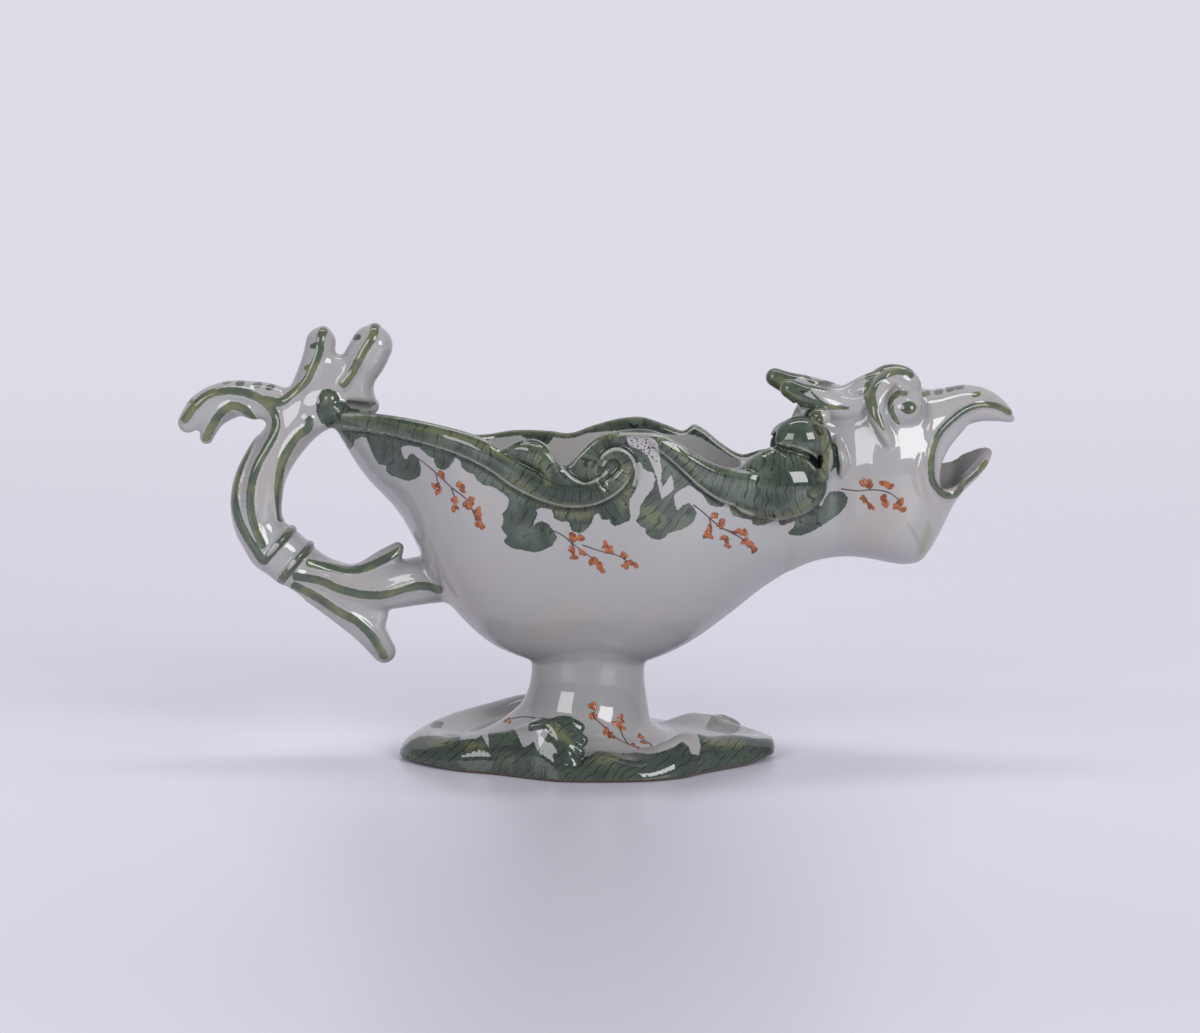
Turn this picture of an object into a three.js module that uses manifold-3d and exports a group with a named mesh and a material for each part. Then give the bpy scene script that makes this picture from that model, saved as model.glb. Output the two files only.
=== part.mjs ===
// A tin-glazed earthenware sauceboat: a boat-shaped bowl on a pedestal foot, with a beaked animal's
// head as its spout and a branched scroll as its handle.
// Units are millimetres. +X points to the beak, +Y to the animal's left, +Z up.
// The origin is on the table, under the middle of the whole length.
import * as THREE from "three";
import { mergeVertices } from "three/addons/utils/BufferGeometryUtils.js";
import Module from "manifold-3d";

const wasm = await Module();
wasm.setup();

const RIGHT = -1;
const LEFT = 1;

// Sizes that hold for the whole piece
const JOINT_GAP = 0.3; // between two luted elements
const WALL = 4.6; // fired clay and glaze
const CUT_ABOVE = 30; // how far a cutter reaches past what it cuts

// Where the elements stand
const STERN_X = -80;
const BOAT_LENGTH = 138; // from the stern to the joint with the moulded head
const BOAT_Z = 27; // the lowest point of the boat's underside, above the table
const STERN = new THREE.Vector3(STERN_X, 0, BOAT_Z);
const NECK = new THREE.Vector3(STERN_X + BOAT_LENGTH, 0, BOAT_Z);

// Boat: lines given as [share of its length from the stern, mm], heights above its underside
const KEEL_LINE = [
  [0, 76], [0.065, 61], [0.159, 45.5], [0.239, 24], [0.319, 11], [0.435, 2.5],
  [0.565, 0], [0.696, 2.5], [0.783, 8], [0.87, 16.7], [0.957, 26], [1, 29.4],
];
const SHEER_LINE = [[0, 81], [0.29, 80], [0.652, 80], [0.87, 77], [1, 76]];
const HALF_BREADTH = [
  [0, 4], [0.072, 14], [0.159, 23], [0.261, 31], [0.391, 36], [0.536, 38], [0.681, 37], [0.797, 33], [0.906, 27], [1, 22],
];
const RIM_LINE = {
  [RIGHT]: [
    [0, 78.5], [0.116, 78.4], [0.217, 76.8], [0.319, 75], [0.377, 71.9], [0.435, 75], [0.478, 72.6], [0.514, 67.2],
    [0.551, 71.6], [0.601, 76.8], [0.667, 78], [0.725, 76.4], [0.797, 70.4], [0.87, 65], [0.913, 66], [1, 71.6],
  ],
  [LEFT]: [
    [0, 78], [0.116, 75], [0.217, 70.6], [0.319, 66.2], [0.42, 67.2], [0.522, 66], [0.594, 69.2], [0.674, 71.2],
    [0.732, 68.8], [0.768, 67.6], [0.801, 69.4], [0.848, 64.2], [0.891, 61.3], [0.935, 62.4], [1, 71],
  ],
};
const CAVITY_START = 10; // the well's end, in from the stern

// Relief scrolls on the flanks: stops as [share of the boat's length, height, radius]
const STERN_SCROLL = {
  [RIGHT]: [
    [0.036, 75.6, 2.2], [0.152, 74.2, 3.2], [0.261, 70.6, 4], [0.355, 65.6, 4.8], [0.428, 59.6, 5.2],
    [0.507, 55.4, 4.8], [0.58, 55.8, 3.8], [0.63, 60.2, 3.2], [0.635, 66, 2.8], [0.601, 68.4, 2.6],
  ],
  [LEFT]: [
    [0.036, 75, 2.2], [0.145, 71.2, 3.2], [0.246, 65.6, 4], [0.355, 60.6, 4.8], [0.449, 57, 4.8],
    [0.536, 55.6, 4], [0.601, 58.6, 3.2], [0.617, 63.8, 2.8], [0.587, 66, 2.4],
  ],
};
const WAVE_SCROLL = [[0.38, 70.4, 2], [0.435, 71.2, 3.4], [0.481, 67, 3.6], [0.522, 61.6, 3], [0.558, 60, 2.6]];
const BOW_SCROLL = {
  [RIGHT]: [[0.587, 73.6, 2.2], [0.667, 74.4, 3.6], [0.739, 71, 4.6], [0.804, 63.4, 5.8], [0.884, 59, 7], [0.957, 60, 7.2], [1, 63, 6.6]],
  [LEFT]: [[0.65, 69, 2.4], [0.69, 68, 3.4], [0.739, 65, 4.2], [0.804, 61, 5], [0.884, 56.4, 6], [0.957, 58.6, 6.6], [1, 62, 6.4]],
};
const SCROLL_PROUD = 0.35; // share of the radius by which a scroll's centre stands off the flank
const PEARLS = { [RIGHT]: [1, 7.6, 80.6, 3.1], [LEFT]: [11.6, 15, 77.8, 3] }; // [x from the stern, y, height, radius]

// Neck and head, measured from the neck joint: sections as [x, top, underside, half breadth, widest height]
const HEAD_SECTIONS = [
  [0.3, 80.5, 29.6, 21.8, 72], [6, 81.6, 32.2, 19.4, 66], [12, 82.6, 33.6, 17.4, 61], [18, 83.6, 34, 16.6, 60],
  [24, 85.2, 33.4, 16.2, 62], [30, 86.4, 32.2, 16, 63], [35, 85.6, 31.7, 15.4, 63], [40, 84, 33.4, 14.2, 64],
  [44, 83.8, 39.4, 12.8, 66], [48, 84.6, 47, 11, 70], [51.6, 84.6, 53.6, 8.6, 72],
];
const HEAD_FULLNESS = 2.2; // exponent of the superellipse
const THROAT_SECTIONS = [
  [-3, 75, 33.6, 17, 66], [6, 76.6, 37, 14.6, 60], [16, 78, 39, 12.2, 58], [26, 78, 39.4, 11.6, 59],
  [34, 76, 41.4, 11, 59], [40, 73, 48, 9.8, 61], [44, 70.6, 54, 8.4, 62], [50, 70, 55.4, 8, 63],
];
const MOUTH_OUTLINE = [
  [82, 74], [55, 74], [50.5, 72.2], [46.5, 68], [44.2, 63], [43, 59], [43.3, 55.2], [45.4, 52.8], [48.4, 52],
  [51.7, 54.4], [82, 59],
]; // [x, height], open ahead
const MOUTH_MIDDLE = [51, 63];
const FOREHEAD = { x: 32, z: 82, long: 7.6, broad: 9.4, high: 8.6 };
const BEAK_ROOT = 47; // where the beak is luted on
const BEAK_ROOT_FLOOR = 67.8; // the underside of its root
const BEAK_SECTIONS = [
  [0.3, 84.6, 68.2, 10.6, 77], [4, 85.4, 72.2, 9.2, 79], [8, 85.1, 73.9, 7.9, 79], [12, 83.8, 74, 6.5, 78.6],
  [16, 81.2, 74, 4.5, 77.4], [19, 77.8, 73.4, 2.4, 75.6], [19.8, 75.8, 74.2, 1, 75],
]; // x from the beak's root
const JAW_STOPS = [[46.5, 52.5, 3.2, 7.6], [51, 56, 3.4, 7.2], [55.4, 60.2, 3.3, 6.2], [58, 63, 2.6, 4.6]];
const JAW_GROOVE_STOPS = [[44, 56, 2.6, 3.6], [50, 60, 2.6, 3.6], [55.6, 64.8, 2.4, 2.8]];
const BROW_STOPS = [
  [35.6, 3, 7.6, 2.4], [31.4, 3.2, 9.6, 2.6], [26.8, 8, 7, 2.8], [24.6, 12.8, 1.8, 2.8], [26.2, 15, -2.8, 2.5],
  [29, 15.4, -7.4, 1.8],
]; // [x, y, height above the forehead's middle, radius]
const EYE = { x: 36, y: 10.8, drop: 2.4, radius: 3.6 }; // drop: below the forehead's middle
const HORN_STOPS = {
  [RIGHT]: [[14, 8, 80.5, 5], [8, 9.2, 82.6, 4.4], [3, 8.8, 83.8, 3.6], [-0.6, 8.4, 85.6, 3]],
  [LEFT]: [[13, 8, 80.8, 5], [6, 8.8, 83.2, 4.2], [0, 8.6, 84.6, 3.4], [-4.6, 8.2, 86.2, 3]],
};
const SHELL_KNOB = { x: 5, y: 19.5, z: 67.6, long: 11, broad: 8, high: 11.4 };
const SHELL_KNOB_FLUTES = 9; // counted all round, as on a scallop
const FLUTE_DEPTH = 0.07; // share of a shell's radius

// Handle, measured from the stern in the plane y = 0: stops as [x, height, half width, half depth]
const STRUT_STOPS = [
  [0, 80, 7, 6.4], [-8.6, 72.4, 7.2, 6.8], [-16.4, 63, 7.6, 7], [-21.6, 53.6, 7.8, 7], [-21.8, 43.6, 7.8, 7], [-17, 37.4, 7.8, 7],
];
const ARM_STOPS = [[-8, 30.2, 7.6, 6.8], [1, 26.8, 7.2, 6.6], [12, 24.6, 6.8, 6.4], [24, 25.6, 7, 6.6], [36, 26.6, 7.8, 7]];
const COLLAR = { x: -12.2, z: 33.6, halfWidth: 9, halfDepth: 8.2, length: 7.4, turn: 0.72 };
const HOOK_STOPS = [[-14, 77, 5, 5.6], [-22, 81.4, 4.9, 5.4], [-31, 82, 5, 5.2], [-38.6, 78, 5, 4.6], [-42.2, 73.8, 2.6, 3.4]];
const CURL_STOPS = [[-30, 79.4, 2.4, 3.8], [-33.6, 76, 2.6, 3.4], [-35.6, 72.6, 2.4, 3], [-36.8, 69.6, 1.6, 2.2]];
const REAR_FINGER_STOPS = [[-8, 81.4, 5.4, 5.4], [-4.4, 90, 5.4, 5.2], [-2.4, 96, 4.6, 4.8], [-1, 99, 3.8, 4]];
const FRONT_FINGER_STOPS = [[4, 82, 4.8, 5.4], [8.4, 91, 5.6, 5.4], [11.8, 97, 6, 5.2], [13.4, 99.4, 5, 4.8]];
const FINGER_WEB_STOPS = [[0, 84, 6, 5], [3, 91.6, 5, 4.4]];
const UPPER_SPUR_STOPS = [[12, 30, 3.6, 4.6], [17.4, 33.6, 2.8, 3.6], [20.4, 37.2, 1.6, 2.2]];
const LOWER_SPUR_STOPS = [[-3, 21.4, 3.4, 4], [5, 16.6, 4.8, 4.6], [12.2, 10.8, 4.4, 4.4], [16.6, 4.8, 3.4, 3.8]];
const SPUR_WEB_STOPS = [[8, 16.4, 4, 3.8], [15, 15.4, 3.4, 3.6]];
const RIDGE_DEPTH = 0.14; // share of the half depth that the moulded grooves take

// Foot and pedestal
const FOOT_X = -1.4;
const FOOT_OUTLINE = [
  [56, 0, 5.6], [47, -16, 9.6], [35, -28, 12], [20, -38, 8.2], [2, -41.9, 8.2], [-12, -40, 11], [-24, -34, 16.4],
  [-40, -26.5, 12.6], [-52, -13, 9.6], [-56, 2, 8.4], [-50, 16, 9.6], [-38, 27, 11.4], [-20, 37, 13], [-2, 41.8, 8.4],
  [18, 38, 5.4], [36, 30, 8.8], [49, 17, 7.4],
]; // [x, y, height of the rim]
const FOOT_LIP = 5.6;
const FOOT_DISH_Z = 6.4;
const FOOT_RING_WIDTH = 7;
const FOOT_RECESS = 2.6;
const FOOT_SEAT = 0.6; // how deep the pedestal is let into the dish
const PEDESTAL_SECTIONS = [
  [0, 30, 25, -4], [0.22, 24.4, 20.6, -4.6], [0.42, 20.6, 17.4, -3.6], [0.66, 18.4, 15.8, -2.6], [0.95, 17.6, 15.2, -2.2],
  [1.34, 18.4, 15.6, -2],
]; // [share of the way from the dish to the boat, half length, half breadth, middle x]
const PEDESTAL_WALL = 5.4;
const PEDESTAL_FLOOR = 5; // clay between the hollow and the boat
const FOOT_LEAF = { x: -9, y: -33.4, z: 10.6, long: 7.4, broad: 6.4, high: 6.8 };
const FOOT_LEAF_FLUTES = 7;

const GLAZE = new THREE.MeshStandardMaterial({ color: 0xd9dade, roughness: 0.12, metalness: 0 });
const GREEN = new THREE.MeshStandardMaterial({ color: 0x4f6b52, roughness: 0.12, metalness: 0 });

// Turns a closed geometry into a solid that can be cut and joined.
function solidOf(geometry) {
  const bare = geometry.clone();
  bare.deleteAttribute("normal");
  bare.deleteAttribute("uv");
  const merged = mergeVertices(bare, 1e-4);
  return new wasm.Manifold(
    new wasm.Mesh({
      numProp: 3,
      vertProperties: merged.attributes.position.array,
      triVerts: new Uint32Array(merged.index.array),
    }),
  );
}

function geometryOf(solid) {
  const mesh = solid.getMesh();
  const geometry = new THREE.BufferGeometry();
  geometry.setAttribute("position", new THREE.BufferAttribute(mesh.vertProperties, mesh.numProp));
  geometry.setIndex(new THREE.BufferAttribute(mesh.triVerts, 1));
  geometry.computeVertexNormals();
  return geometry;
}

// A smooth line through [x, value] pairs: cubic, with slopes taken from the neighbours.
function lineThrough(pairs) {
  const slope = (i) => {
    const before = pairs[Math.max(i - 1, 0)];
    const after = pairs[Math.min(i + 1, pairs.length - 1)];
    return (after[1] - before[1]) / (after[0] - before[0]);
  };
  return (x) => {
    const last = pairs.length - 2;
    let i = pairs.findIndex((pair, k) => k <= last && x < pairs[k + 1][0]);
    if (i < 0) i = last;
    const [x0, v0] = pairs[i];
    const [x1, v1] = pairs[i + 1];
    const span = x1 - x0;
    const t = THREE.MathUtils.clamp((x - x0) / span, 0, 1);
    const lift = t * t * (3 - 2 * t);
    const lean0 = t * (1 - t) * (1 - t) * span * slope(i);
    const lean1 = t * t * (t - 1) * span * slope(i + 1);
    return v0 + (v1 - v0) * lift + lean0 + lean1;
  };
}

// A closed skin over rings of points, all with the same count, with a fan over each end.
function loft(rings) {
  const count = rings[0].length;
  const points = rings.flat();
  const centres = [rings[0], rings[rings.length - 1]].map((ring) =>
    ring.reduce((sum, p) => sum.add(p), new THREE.Vector3()).divideScalar(count),
  );
  const index = [];
  rings.slice(1).forEach((ring, i) => {
    for (let j = 0; j < count; j++) {
      const next = (j + 1) % count;
      const a = i * count + j;
      const b = i * count + next;
      index.push(a, b, b + count, a, b + count, a + count);
    }
  });
  const top = (rings.length - 1) * count;
  for (let j = 0; j < count; j++) {
    const next = (j + 1) % count;
    index.push(points.length, next, j);
    index.push(points.length + 1, top + j, top + next);
  }
  const all = [...points, ...centres];
  const geometry = new THREE.BufferGeometry().setFromPoints(all);
  geometry.setIndex(isInsideOut(all, index) ? index.reverse() : index);
  return geometry;
}

function isInsideOut(points, index) {
  let volume = 0;
  for (let i = 0; i < index.length; i += 3) {
    const [a, b, c] = [points[index[i]], points[index[i + 1]], points[index[i + 2]]];
    volume += a.dot(b.clone().cross(c));
  }
  return volume < 0;
}

function spread(from, to, count) {
  return Array.from({ length: count }, (_, i) => from + ((to - from) * i) / (count - 1));
}

// The value at t along a list of numbers, smooth through each of them.
function blendAlong(values, t) {
  return lineThrough(values.map((v, i) => [i, v]))(t * (values.length - 1));
}

const ROUND = (turn) => [Math.cos(turn), Math.sin(turn)];

// The handle's moulded section: a ridge at each edge and one between, on both faces.
const RIDGED = (turn) => {
  const across = Math.sign(Math.cos(turn)) * Math.abs(Math.cos(turn)) ** 0.8;
  const ridge = 1 - RIDGE_DEPTH * (1 - Math.cos(2.5 * Math.PI * across));
  return [across, Math.sign(Math.sin(turn)) * Math.abs(Math.sin(turn)) ** 0.7 * ridge];
};

// A limb with rounded ends. Stops are { at, width, depth }, and facing(point) is the way its depth points.
function limb(stops, facing, { sides = 12, steps = 14, section = ROUND, ends = 3 } = {}) {
  const path = new THREE.CatmullRomCurve3(stops.map((stop) => stop.at), false, "centripetal");
  const widths = stops.map((stop) => stop.width);
  const depths = stops.map((stop) => stop.depth);
  const ringAt = (t, shift, shrink) => {
    const along = path.getTangent(t);
    const centre = path.getPoint(t).addScaledVector(along, shift);
    const deep = facing(centre).addScaledVector(along, -facing(centre).dot(along)).normalize();
    const across = along.clone().cross(deep);
    return Array.from({ length: sides }, (_, i) => {
      const [u, v] = section((2 * Math.PI * i) / sides);
      return centre
        .clone()
        .addScaledVector(across, u * blendAlong(widths, t) * shrink)
        .addScaledVector(deep, v * blendAlong(depths, t) * shrink);
    });
  };
  const cap = (t, sign) =>
    Array.from({ length: ends }, (_, i) => {
      const lean = ((i + 0.35) / ends) * (Math.PI / 2);
      const reach = Math.min(blendAlong(widths, t), blendAlong(depths, t));
      return ringAt(t, sign * reach * Math.cos(lean), Math.sin(lean));
    });
  const body = spread(0, 1, steps).map((t) => ringAt(t, 0, 1));
  return loft([...cap(0, -1), ...body, ...cap(1, 1).reverse()]);
}

function ellipsoid({ x, y, z, long, broad, high }, grow = 0, across = 16, up = 10) {
  const ball = new THREE.SphereGeometry(1, across, up);
  ball.scale(long + grow, broad + grow, high + grow);
  ball.translate(x, y, z);
  return solidOf(ball);
}

// A domed scallop shell: its dome faces along Y and its flutes run out to the edge.
function scallop({ x, y, z, long, broad, high }, flutes, grow = 0) {
  const dome = new THREE.SphereGeometry(1, flutes * 4, 8);
  const at = dome.attributes.position;
  for (let i = 0; i < at.count; i++) {
    const turn = Math.atan2(at.getZ(i), at.getX(i));
    const flute = 1 - FLUTE_DEPTH * (1 - Math.cos(flutes * turn));
    at.setXYZ(i, at.getX(i) * flute * (long + grow), at.getY(i) * (broad + grow), at.getZ(i) * flute * (high + grow));
  }
  dome.translate(x, y, z);
  return solidOf(dome);
}

const keelLine = lineThrough(KEEL_LINE);
const sheerLine = lineThrough(SHEER_LINE);
const breadthLine = lineThrough(HALF_BREADTH);
const rimLine = { [RIGHT]: lineThrough(RIM_LINE[RIGHT]), [LEFT]: lineThrough(RIM_LINE[LEFT]) };
const share = (x) => (x - STERN.x) / BOAT_LENGTH;
const keelAt = (x) => BOAT_Z + keelLine(share(x));
const sheerAt = (x) => BOAT_Z + sheerLine(share(x));

// A point of the boat's flank: turn is 0 at the keel and a quarter turn at the sheer.
function flankPoint(x, turn, side, grow) {
  const keel = keelAt(x) - grow;
  const sheer = sheerAt(x);
  const half = Math.max(breadthLine(share(x)) + grow, 0.6);
  return new THREE.Vector3(x, side * half * Math.sin(turn), sheer - (sheer - keel) * Math.cos(turn));
}

function turnAtHeight(x, z, grow = 0) {
  const depth = sheerAt(x) - keelAt(x) + grow;
  return Math.acos(THREE.MathUtils.clamp((sheerAt(x) - z) / depth, 0, 1));
}

function flankFacing(side) {
  return (point) => {
    const turn = turnAtHeight(point.x, point.z);
    return new THREE.Vector3(0, side * Math.sin(turn) * 1.2, -Math.cos(turn)).normalize();
  };
}

// The boat as a full block over the stations xs, up to its rim, or up to a flat top if one is given.
function boatBlock(xs, grow, topZ = null, points = 9) {
  const rings = xs.map((x) => {
    const flank = (side) => {
      const rimZ = BOAT_Z + rimLine[side](share(x)) + grow;
      const rimTurn = topZ === null ? turnAtHeight(x, rimZ, grow) : Math.PI / 2;
      const rise = spread(0, rimTurn, points).map((turn) => flankPoint(x, turn, side, grow));
      if (topZ !== null) rise.push(new THREE.Vector3(x, rise[points - 1].y, topZ));
      return rise;
    };
    return [...flank(RIGHT).reverse(), ...flank(LEFT).slice(1)];
  });
  return solidOf(loft(rings));
}

const BOAT_STATIONS = spread(STERN.x, NECK.x, 34);
const OPEN_TOP = sheerAt(STERN.x) + CUT_ABOVE;

function bowl() {
  const outside = boatBlock(BOAT_STATIONS, 0);
  const cavity = boatBlock(spread(STERN.x + CAVITY_START, NECK.x + WALL, 18), -WALL, OPEN_TOP, 7);
  return outside.subtract(cavity);
}

// What is luted on the boat is cut with these, which leave the joint gap: on its flank, and over its rim.
const boatSeat = boatBlock([STERN.x - JOINT_GAP, ...BOAT_STATIONS], JOINT_GAP, OPEN_TOP);
const rimSeat = boatBlock([STERN.x - JOINT_GAP, ...BOAT_STATIONS], JOINT_GAP);

// A closed body over sections given as [x, top, underside, half breadth, widest height] from an origin.
function sectionBody(sections, origin, { rings = 16, sides = 18, grow = 0 } = {}) {
  const columns = [1, 2, 3, 4].map((k) => lineThrough(sections.map((s) => [s[0], s[k]])));
  const power = 2 / HEAD_FULLNESS;
  const first = sections[0][0] - grow;
  const skin = spread(first, sections[sections.length - 1][0], rings).map((x) => {
    const [top, under, half, widest] = columns.map((column) => column(x));
    return Array.from({ length: sides }, (_, i) => {
      const turn = (2 * Math.PI * i) / sides;
      const y = Math.sign(Math.cos(turn)) * Math.abs(Math.cos(turn)) ** power * (half + grow);
      const rise = Math.sin(turn) > 0 ? top - widest + grow : widest - under + grow;
      const z = widest + Math.sign(Math.sin(turn)) * Math.abs(Math.sin(turn)) ** power * rise;
      return new THREE.Vector3(origin.x + x, y, origin.z + z);
    });
  });
  return solidOf(loft(skin));
}

// The open mouth as a block right through the head, drawn in by inset.
function mouthBlock(inset) {
  const middle = new THREE.Vector2(...MOUTH_MIDDLE);
  const drawn = MOUTH_OUTLINE.map(([x, z]) => {
    const point = new THREE.Vector2(x, z);
    return point.clone().addScaledVector(middle.clone().sub(point).normalize(), inset);
  });
  const last = drawn.length - 1;
  const shape = new THREE.Shape();
  shape.moveTo(drawn[0].x, drawn[0].y);
  shape.lineTo(drawn[1].x, drawn[1].y);
  shape.splineThru(drawn.slice(2, last));
  shape.lineTo(drawn[last].x, drawn[last].y);
  const block = new THREE.ExtrudeGeometry(shape, { depth: 2 * CUT_ABOVE, bevelEnabled: false, curveSegments: 12 });
  block.rotateX(Math.PI / 2);
  block.translate(NECK.x, CUT_ABOVE, NECK.z);
  return solidOf(block);
}

// The neck and skull, solid; grown by the joint gap it seats what is luted on it.
function headBlock(grow = 0) {
  const forehead = { ...FOREHEAD, x: NECK.x + FOREHEAD.x, y: 0, z: NECK.z + FOREHEAD.z };
  return sectionBody(HEAD_SECTIONS, NECK, { grow, rings: 16 }).add(ellipsoid(forehead, grow, 14, 8));
}

function head() {
  const throat = sectionBody(THROAT_SECTIONS, NECK, { rings: 10, sides: 12 });
  const beakRoom = new THREE.BoxGeometry(CUT_ABOVE, 2 * CUT_ABOVE, CUT_ABOVE);
  beakRoom.translate(NECK.x + BEAK_ROOT + CUT_ABOVE / 2, 0, NECK.z + BEAK_ROOT_FLOOR + CUT_ABOVE / 2);
  return headBlock().subtract(throat).subtract(mouthBlock(0)).subtract(solidOf(beakRoom));
}

function beak() {
  const root = new THREE.Vector3(NECK.x + BEAK_ROOT, 0, NECK.z);
  return sectionBody(BEAK_SECTIONS, root, { rings: 9, sides: 14 });
}

const sideways = () => new THREE.Vector3(0, 1, 0);

// A limb in the plane y = 0, over stops given as [x, height, half width, half depth] from an origin.
function planarLimb(stops, origin, options, grow = 0) {
  const fat = stops.map(([x, z, width, depth]) => ({
    at: new THREE.Vector3(origin.x + x, 0, origin.z + z),
    width: width + grow,
    depth: depth + grow,
  }));
  return solidOf(limb(fat, sideways, options));
}

// The lower jaw is a grooved tongue that fills the root of the open mouth.
function jaw() {
  const tongue = planarLimb(JAW_STOPS, NECK, { sides: 12, steps: 5, ends: 2 });
  const groove = planarLimb(JAW_GROOVE_STOPS, NECK, { sides: 8, steps: 4, ends: 2 });
  return tongue.subtract(groove).intersect(mouthBlock(JOINT_GAP));
}

// A round limb on the head, over stops given as [x, y, height above the base, radius].
function headLimb(stops, side, base, outward, options, grow = 0) {
  const fat = stops.map(([x, y, z, radius]) => ({
    at: new THREE.Vector3(NECK.x + x, side * y, base + z),
    width: radius + grow,
    depth: radius + grow,
  }));
  return solidOf(limb(fat, outward, options));
}

function brow(side, grow = 0) {
  const middle = NECK.z + FOREHEAD.z;
  const outward = (p) => new THREE.Vector3(0, p.y, p.z - middle + 4).normalize();
  return headLimb(BROW_STOPS, side, middle, outward, { sides: 7, steps: 10, ends: 2 }, grow);
}

function horn(side) {
  const outward = () => new THREE.Vector3(0, side, 0);
  return headLimb(HORN_STOPS[side], side, NECK.z, outward, { sides: 8, steps: 6, ends: 2 });
}

function eye(side) {
  const { x, y, drop, radius } = EYE;
  const z = NECK.z + FOREHEAD.z - drop;
  const ball = { x: NECK.x + x, y: side * y, z, long: radius, broad: radius, high: radius };
  return ellipsoid(ball, 0, 12, 7);
}

// A scroll in relief on the flank, over stops given as [share of the boat's length, height, radius].
function scroll(stops, side, steps, grow = 0) {
  const facing = flankFacing(side);
  const fat = stops.map(([along, height, radius]) => {
    const x = STERN.x + along * BOAT_LENGTH;
    const at = flankPoint(x, turnAtHeight(x, BOAT_Z + height), side, 0);
    return {
      at: at.addScaledVector(facing(at), radius * SCROLL_PROUD),
      width: radius + grow,
      depth: radius * 0.8 + grow,
    };
  });
  return solidOf(limb(fat, facing, { sides: 7, steps, ends: 2 }));
}

// On the right a small wave breaks over the long stern scroll.
function sternScroll(side, grow = 0) {
  const long = scroll(STERN_SCROLL[side], side, 20, grow);
  return side === RIGHT ? long.add(scroll(WAVE_SCROLL, side, 9, grow)) : long;
}

function shellKnob(side, grow = 0) {
  const { x, y, z } = SHELL_KNOB;
  return scallop({ ...SHELL_KNOB, x: NECK.x + x, y: side * y, z: NECK.z + z }, SHELL_KNOB_FLUTES, grow);
}

function pearl(side, grow = 0) {
  const [x, y, z, radius] = PEARLS[side];
  const ball = { x: STERN.x + x, y: side * y, z: STERN.z + z, long: radius, broad: radius, high: radius };
  return ellipsoid(ball, grow, 10, 6);
}

const RIBBED = { sides: 20, steps: 8, section: RIDGED, ends: 2 };
const PLAIN = { sides: 10, steps: 6, ends: 2 };

// The raised band round the handle where the strut and the arm are luted together.
function collar(grow = 0) {
  const { x, z, halfWidth, halfDepth, length, turn } = COLLAR;
  const along = new THREE.Vector3(Math.cos(turn), 0, -Math.sin(turn));
  const across = new THREE.Vector3(Math.sin(turn), 0, Math.cos(turn));
  const middle = new THREE.Vector3(STERN.x + x, 0, STERN.z + z);
  const rings = [[-1, 0.9], [-0.6, 1], [0.6, 1], [1, 0.9]].map(([reach, size]) =>
    Array.from({ length: RIBBED.sides }, (_, i) => {
      const [u, v] = RIDGED((2 * Math.PI * i) / RIBBED.sides);
      return middle
        .clone()
        .addScaledVector(along, reach * (length / 2 + grow))
        .addScaledVector(across, u * (halfWidth + grow) * size)
        .add(new THREE.Vector3(0, v * (halfDepth + grow) * size, 0));
    }),
  );
  return solidOf(loft(rings));
}

// The forked leaf on top of the handle, where the thumb rests.
function thumbRest(grow = 0) {
  const fork = [REAR_FINGER_STOPS, FRONT_FINGER_STOPS].map((stops) => planarLimb(stops, STERN, PLAIN, grow));
  return fork[0].add(fork[1]).add(planarLimb(FINGER_WEB_STOPS, STERN, { ...PLAIN, steps: 4 }, grow));
}

// The foot's outline drawn in by inset, each point at a height worked out from the rim's height there.
function footRing(inset, heightOf, count = 42) {
  const outline = new THREE.CatmullRomCurve3(
    FOOT_OUTLINE.map(([x, y, rim]) => new THREE.Vector3(x, y, rim)),
    true,
    "centripetal",
  );
  return Array.from({ length: count }, (_, i) => {
    const p = outline.getPoint(i / count);
    const reach = Math.hypot(p.x, p.y);
    const scale = (reach - inset) / reach;
    return new THREE.Vector3(FOOT_X + p.x * scale, p.y * scale, heightOf(p.z));
  });
}

// A shallow dish with a raised, waving rim, standing on a ring.
function footPlate() {
  const skin = [
    footRing(3.2, () => 0),
    footRing(1.2, (rim) => 0.2 * rim),
    footRing(0, (rim) => 0.62 * rim),
    footRing(0.9, (rim) => 0.92 * rim),
    footRing(FOOT_LIP * 0.5, (rim) => rim),
    footRing(FOOT_LIP, (rim) => Math.max(0.8 * rim, FOOT_DISH_Z)),
    footRing(FOOT_LIP * 2, (rim) => FOOT_DISH_Z + Math.max(rim - FOOT_DISH_Z, 0) * 0.2),
    footRing(FOOT_LIP * 2 + WALL, () => FOOT_DISH_Z),
  ];
  const recess = [
    footRing(FOOT_RING_WIDTH, () => -CUT_ABOVE),
    footRing(FOOT_RING_WIDTH, () => 0),
    footRing(FOOT_RING_WIDTH + FOOT_RECESS, () => FOOT_RECESS),
  ];
  return solidOf(loft(skin)).subtract(solidOf(loft(recess)));
}

// The waisted pedestal as a block, drawn in by inset, from fromZ to toZ.
function pedestalBlock(inset, fromZ, toZ, sides = 24) {
  const columns = [1, 2, 3].map((k) => lineThrough(PEDESTAL_SECTIONS.map((s) => [s[0], s[k]])));
  const rings = spread(fromZ, toZ, 8).map((z) => {
    const [half, broad, middle] = columns.map((column) => column((z - FOOT_DISH_Z) / (BOAT_Z - FOOT_DISH_Z)));
    return Array.from({ length: sides }, (_, i) => {
      const turn = (2 * Math.PI * i) / sides;
      return new THREE.Vector3(
        FOOT_X + middle + (half - inset) * Math.cos(turn),
        (broad - inset) * Math.sin(turn),
        z,
      );
    });
  });
  return solidOf(loft(rings));
}

function footLeaf(grow = 0) {
  return scallop({ ...FOOT_LEAF, x: FOOT_X + FOOT_LEAF.x }, FOOT_LEAF_FLUTES, grow);
}

const object = new THREE.Group();

function place(name, solid, material = GLAZE) {
  const mesh = new THREE.Mesh(geometryOf(solid), material);
  mesh.name = name;
  object.add(mesh);
}

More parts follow.
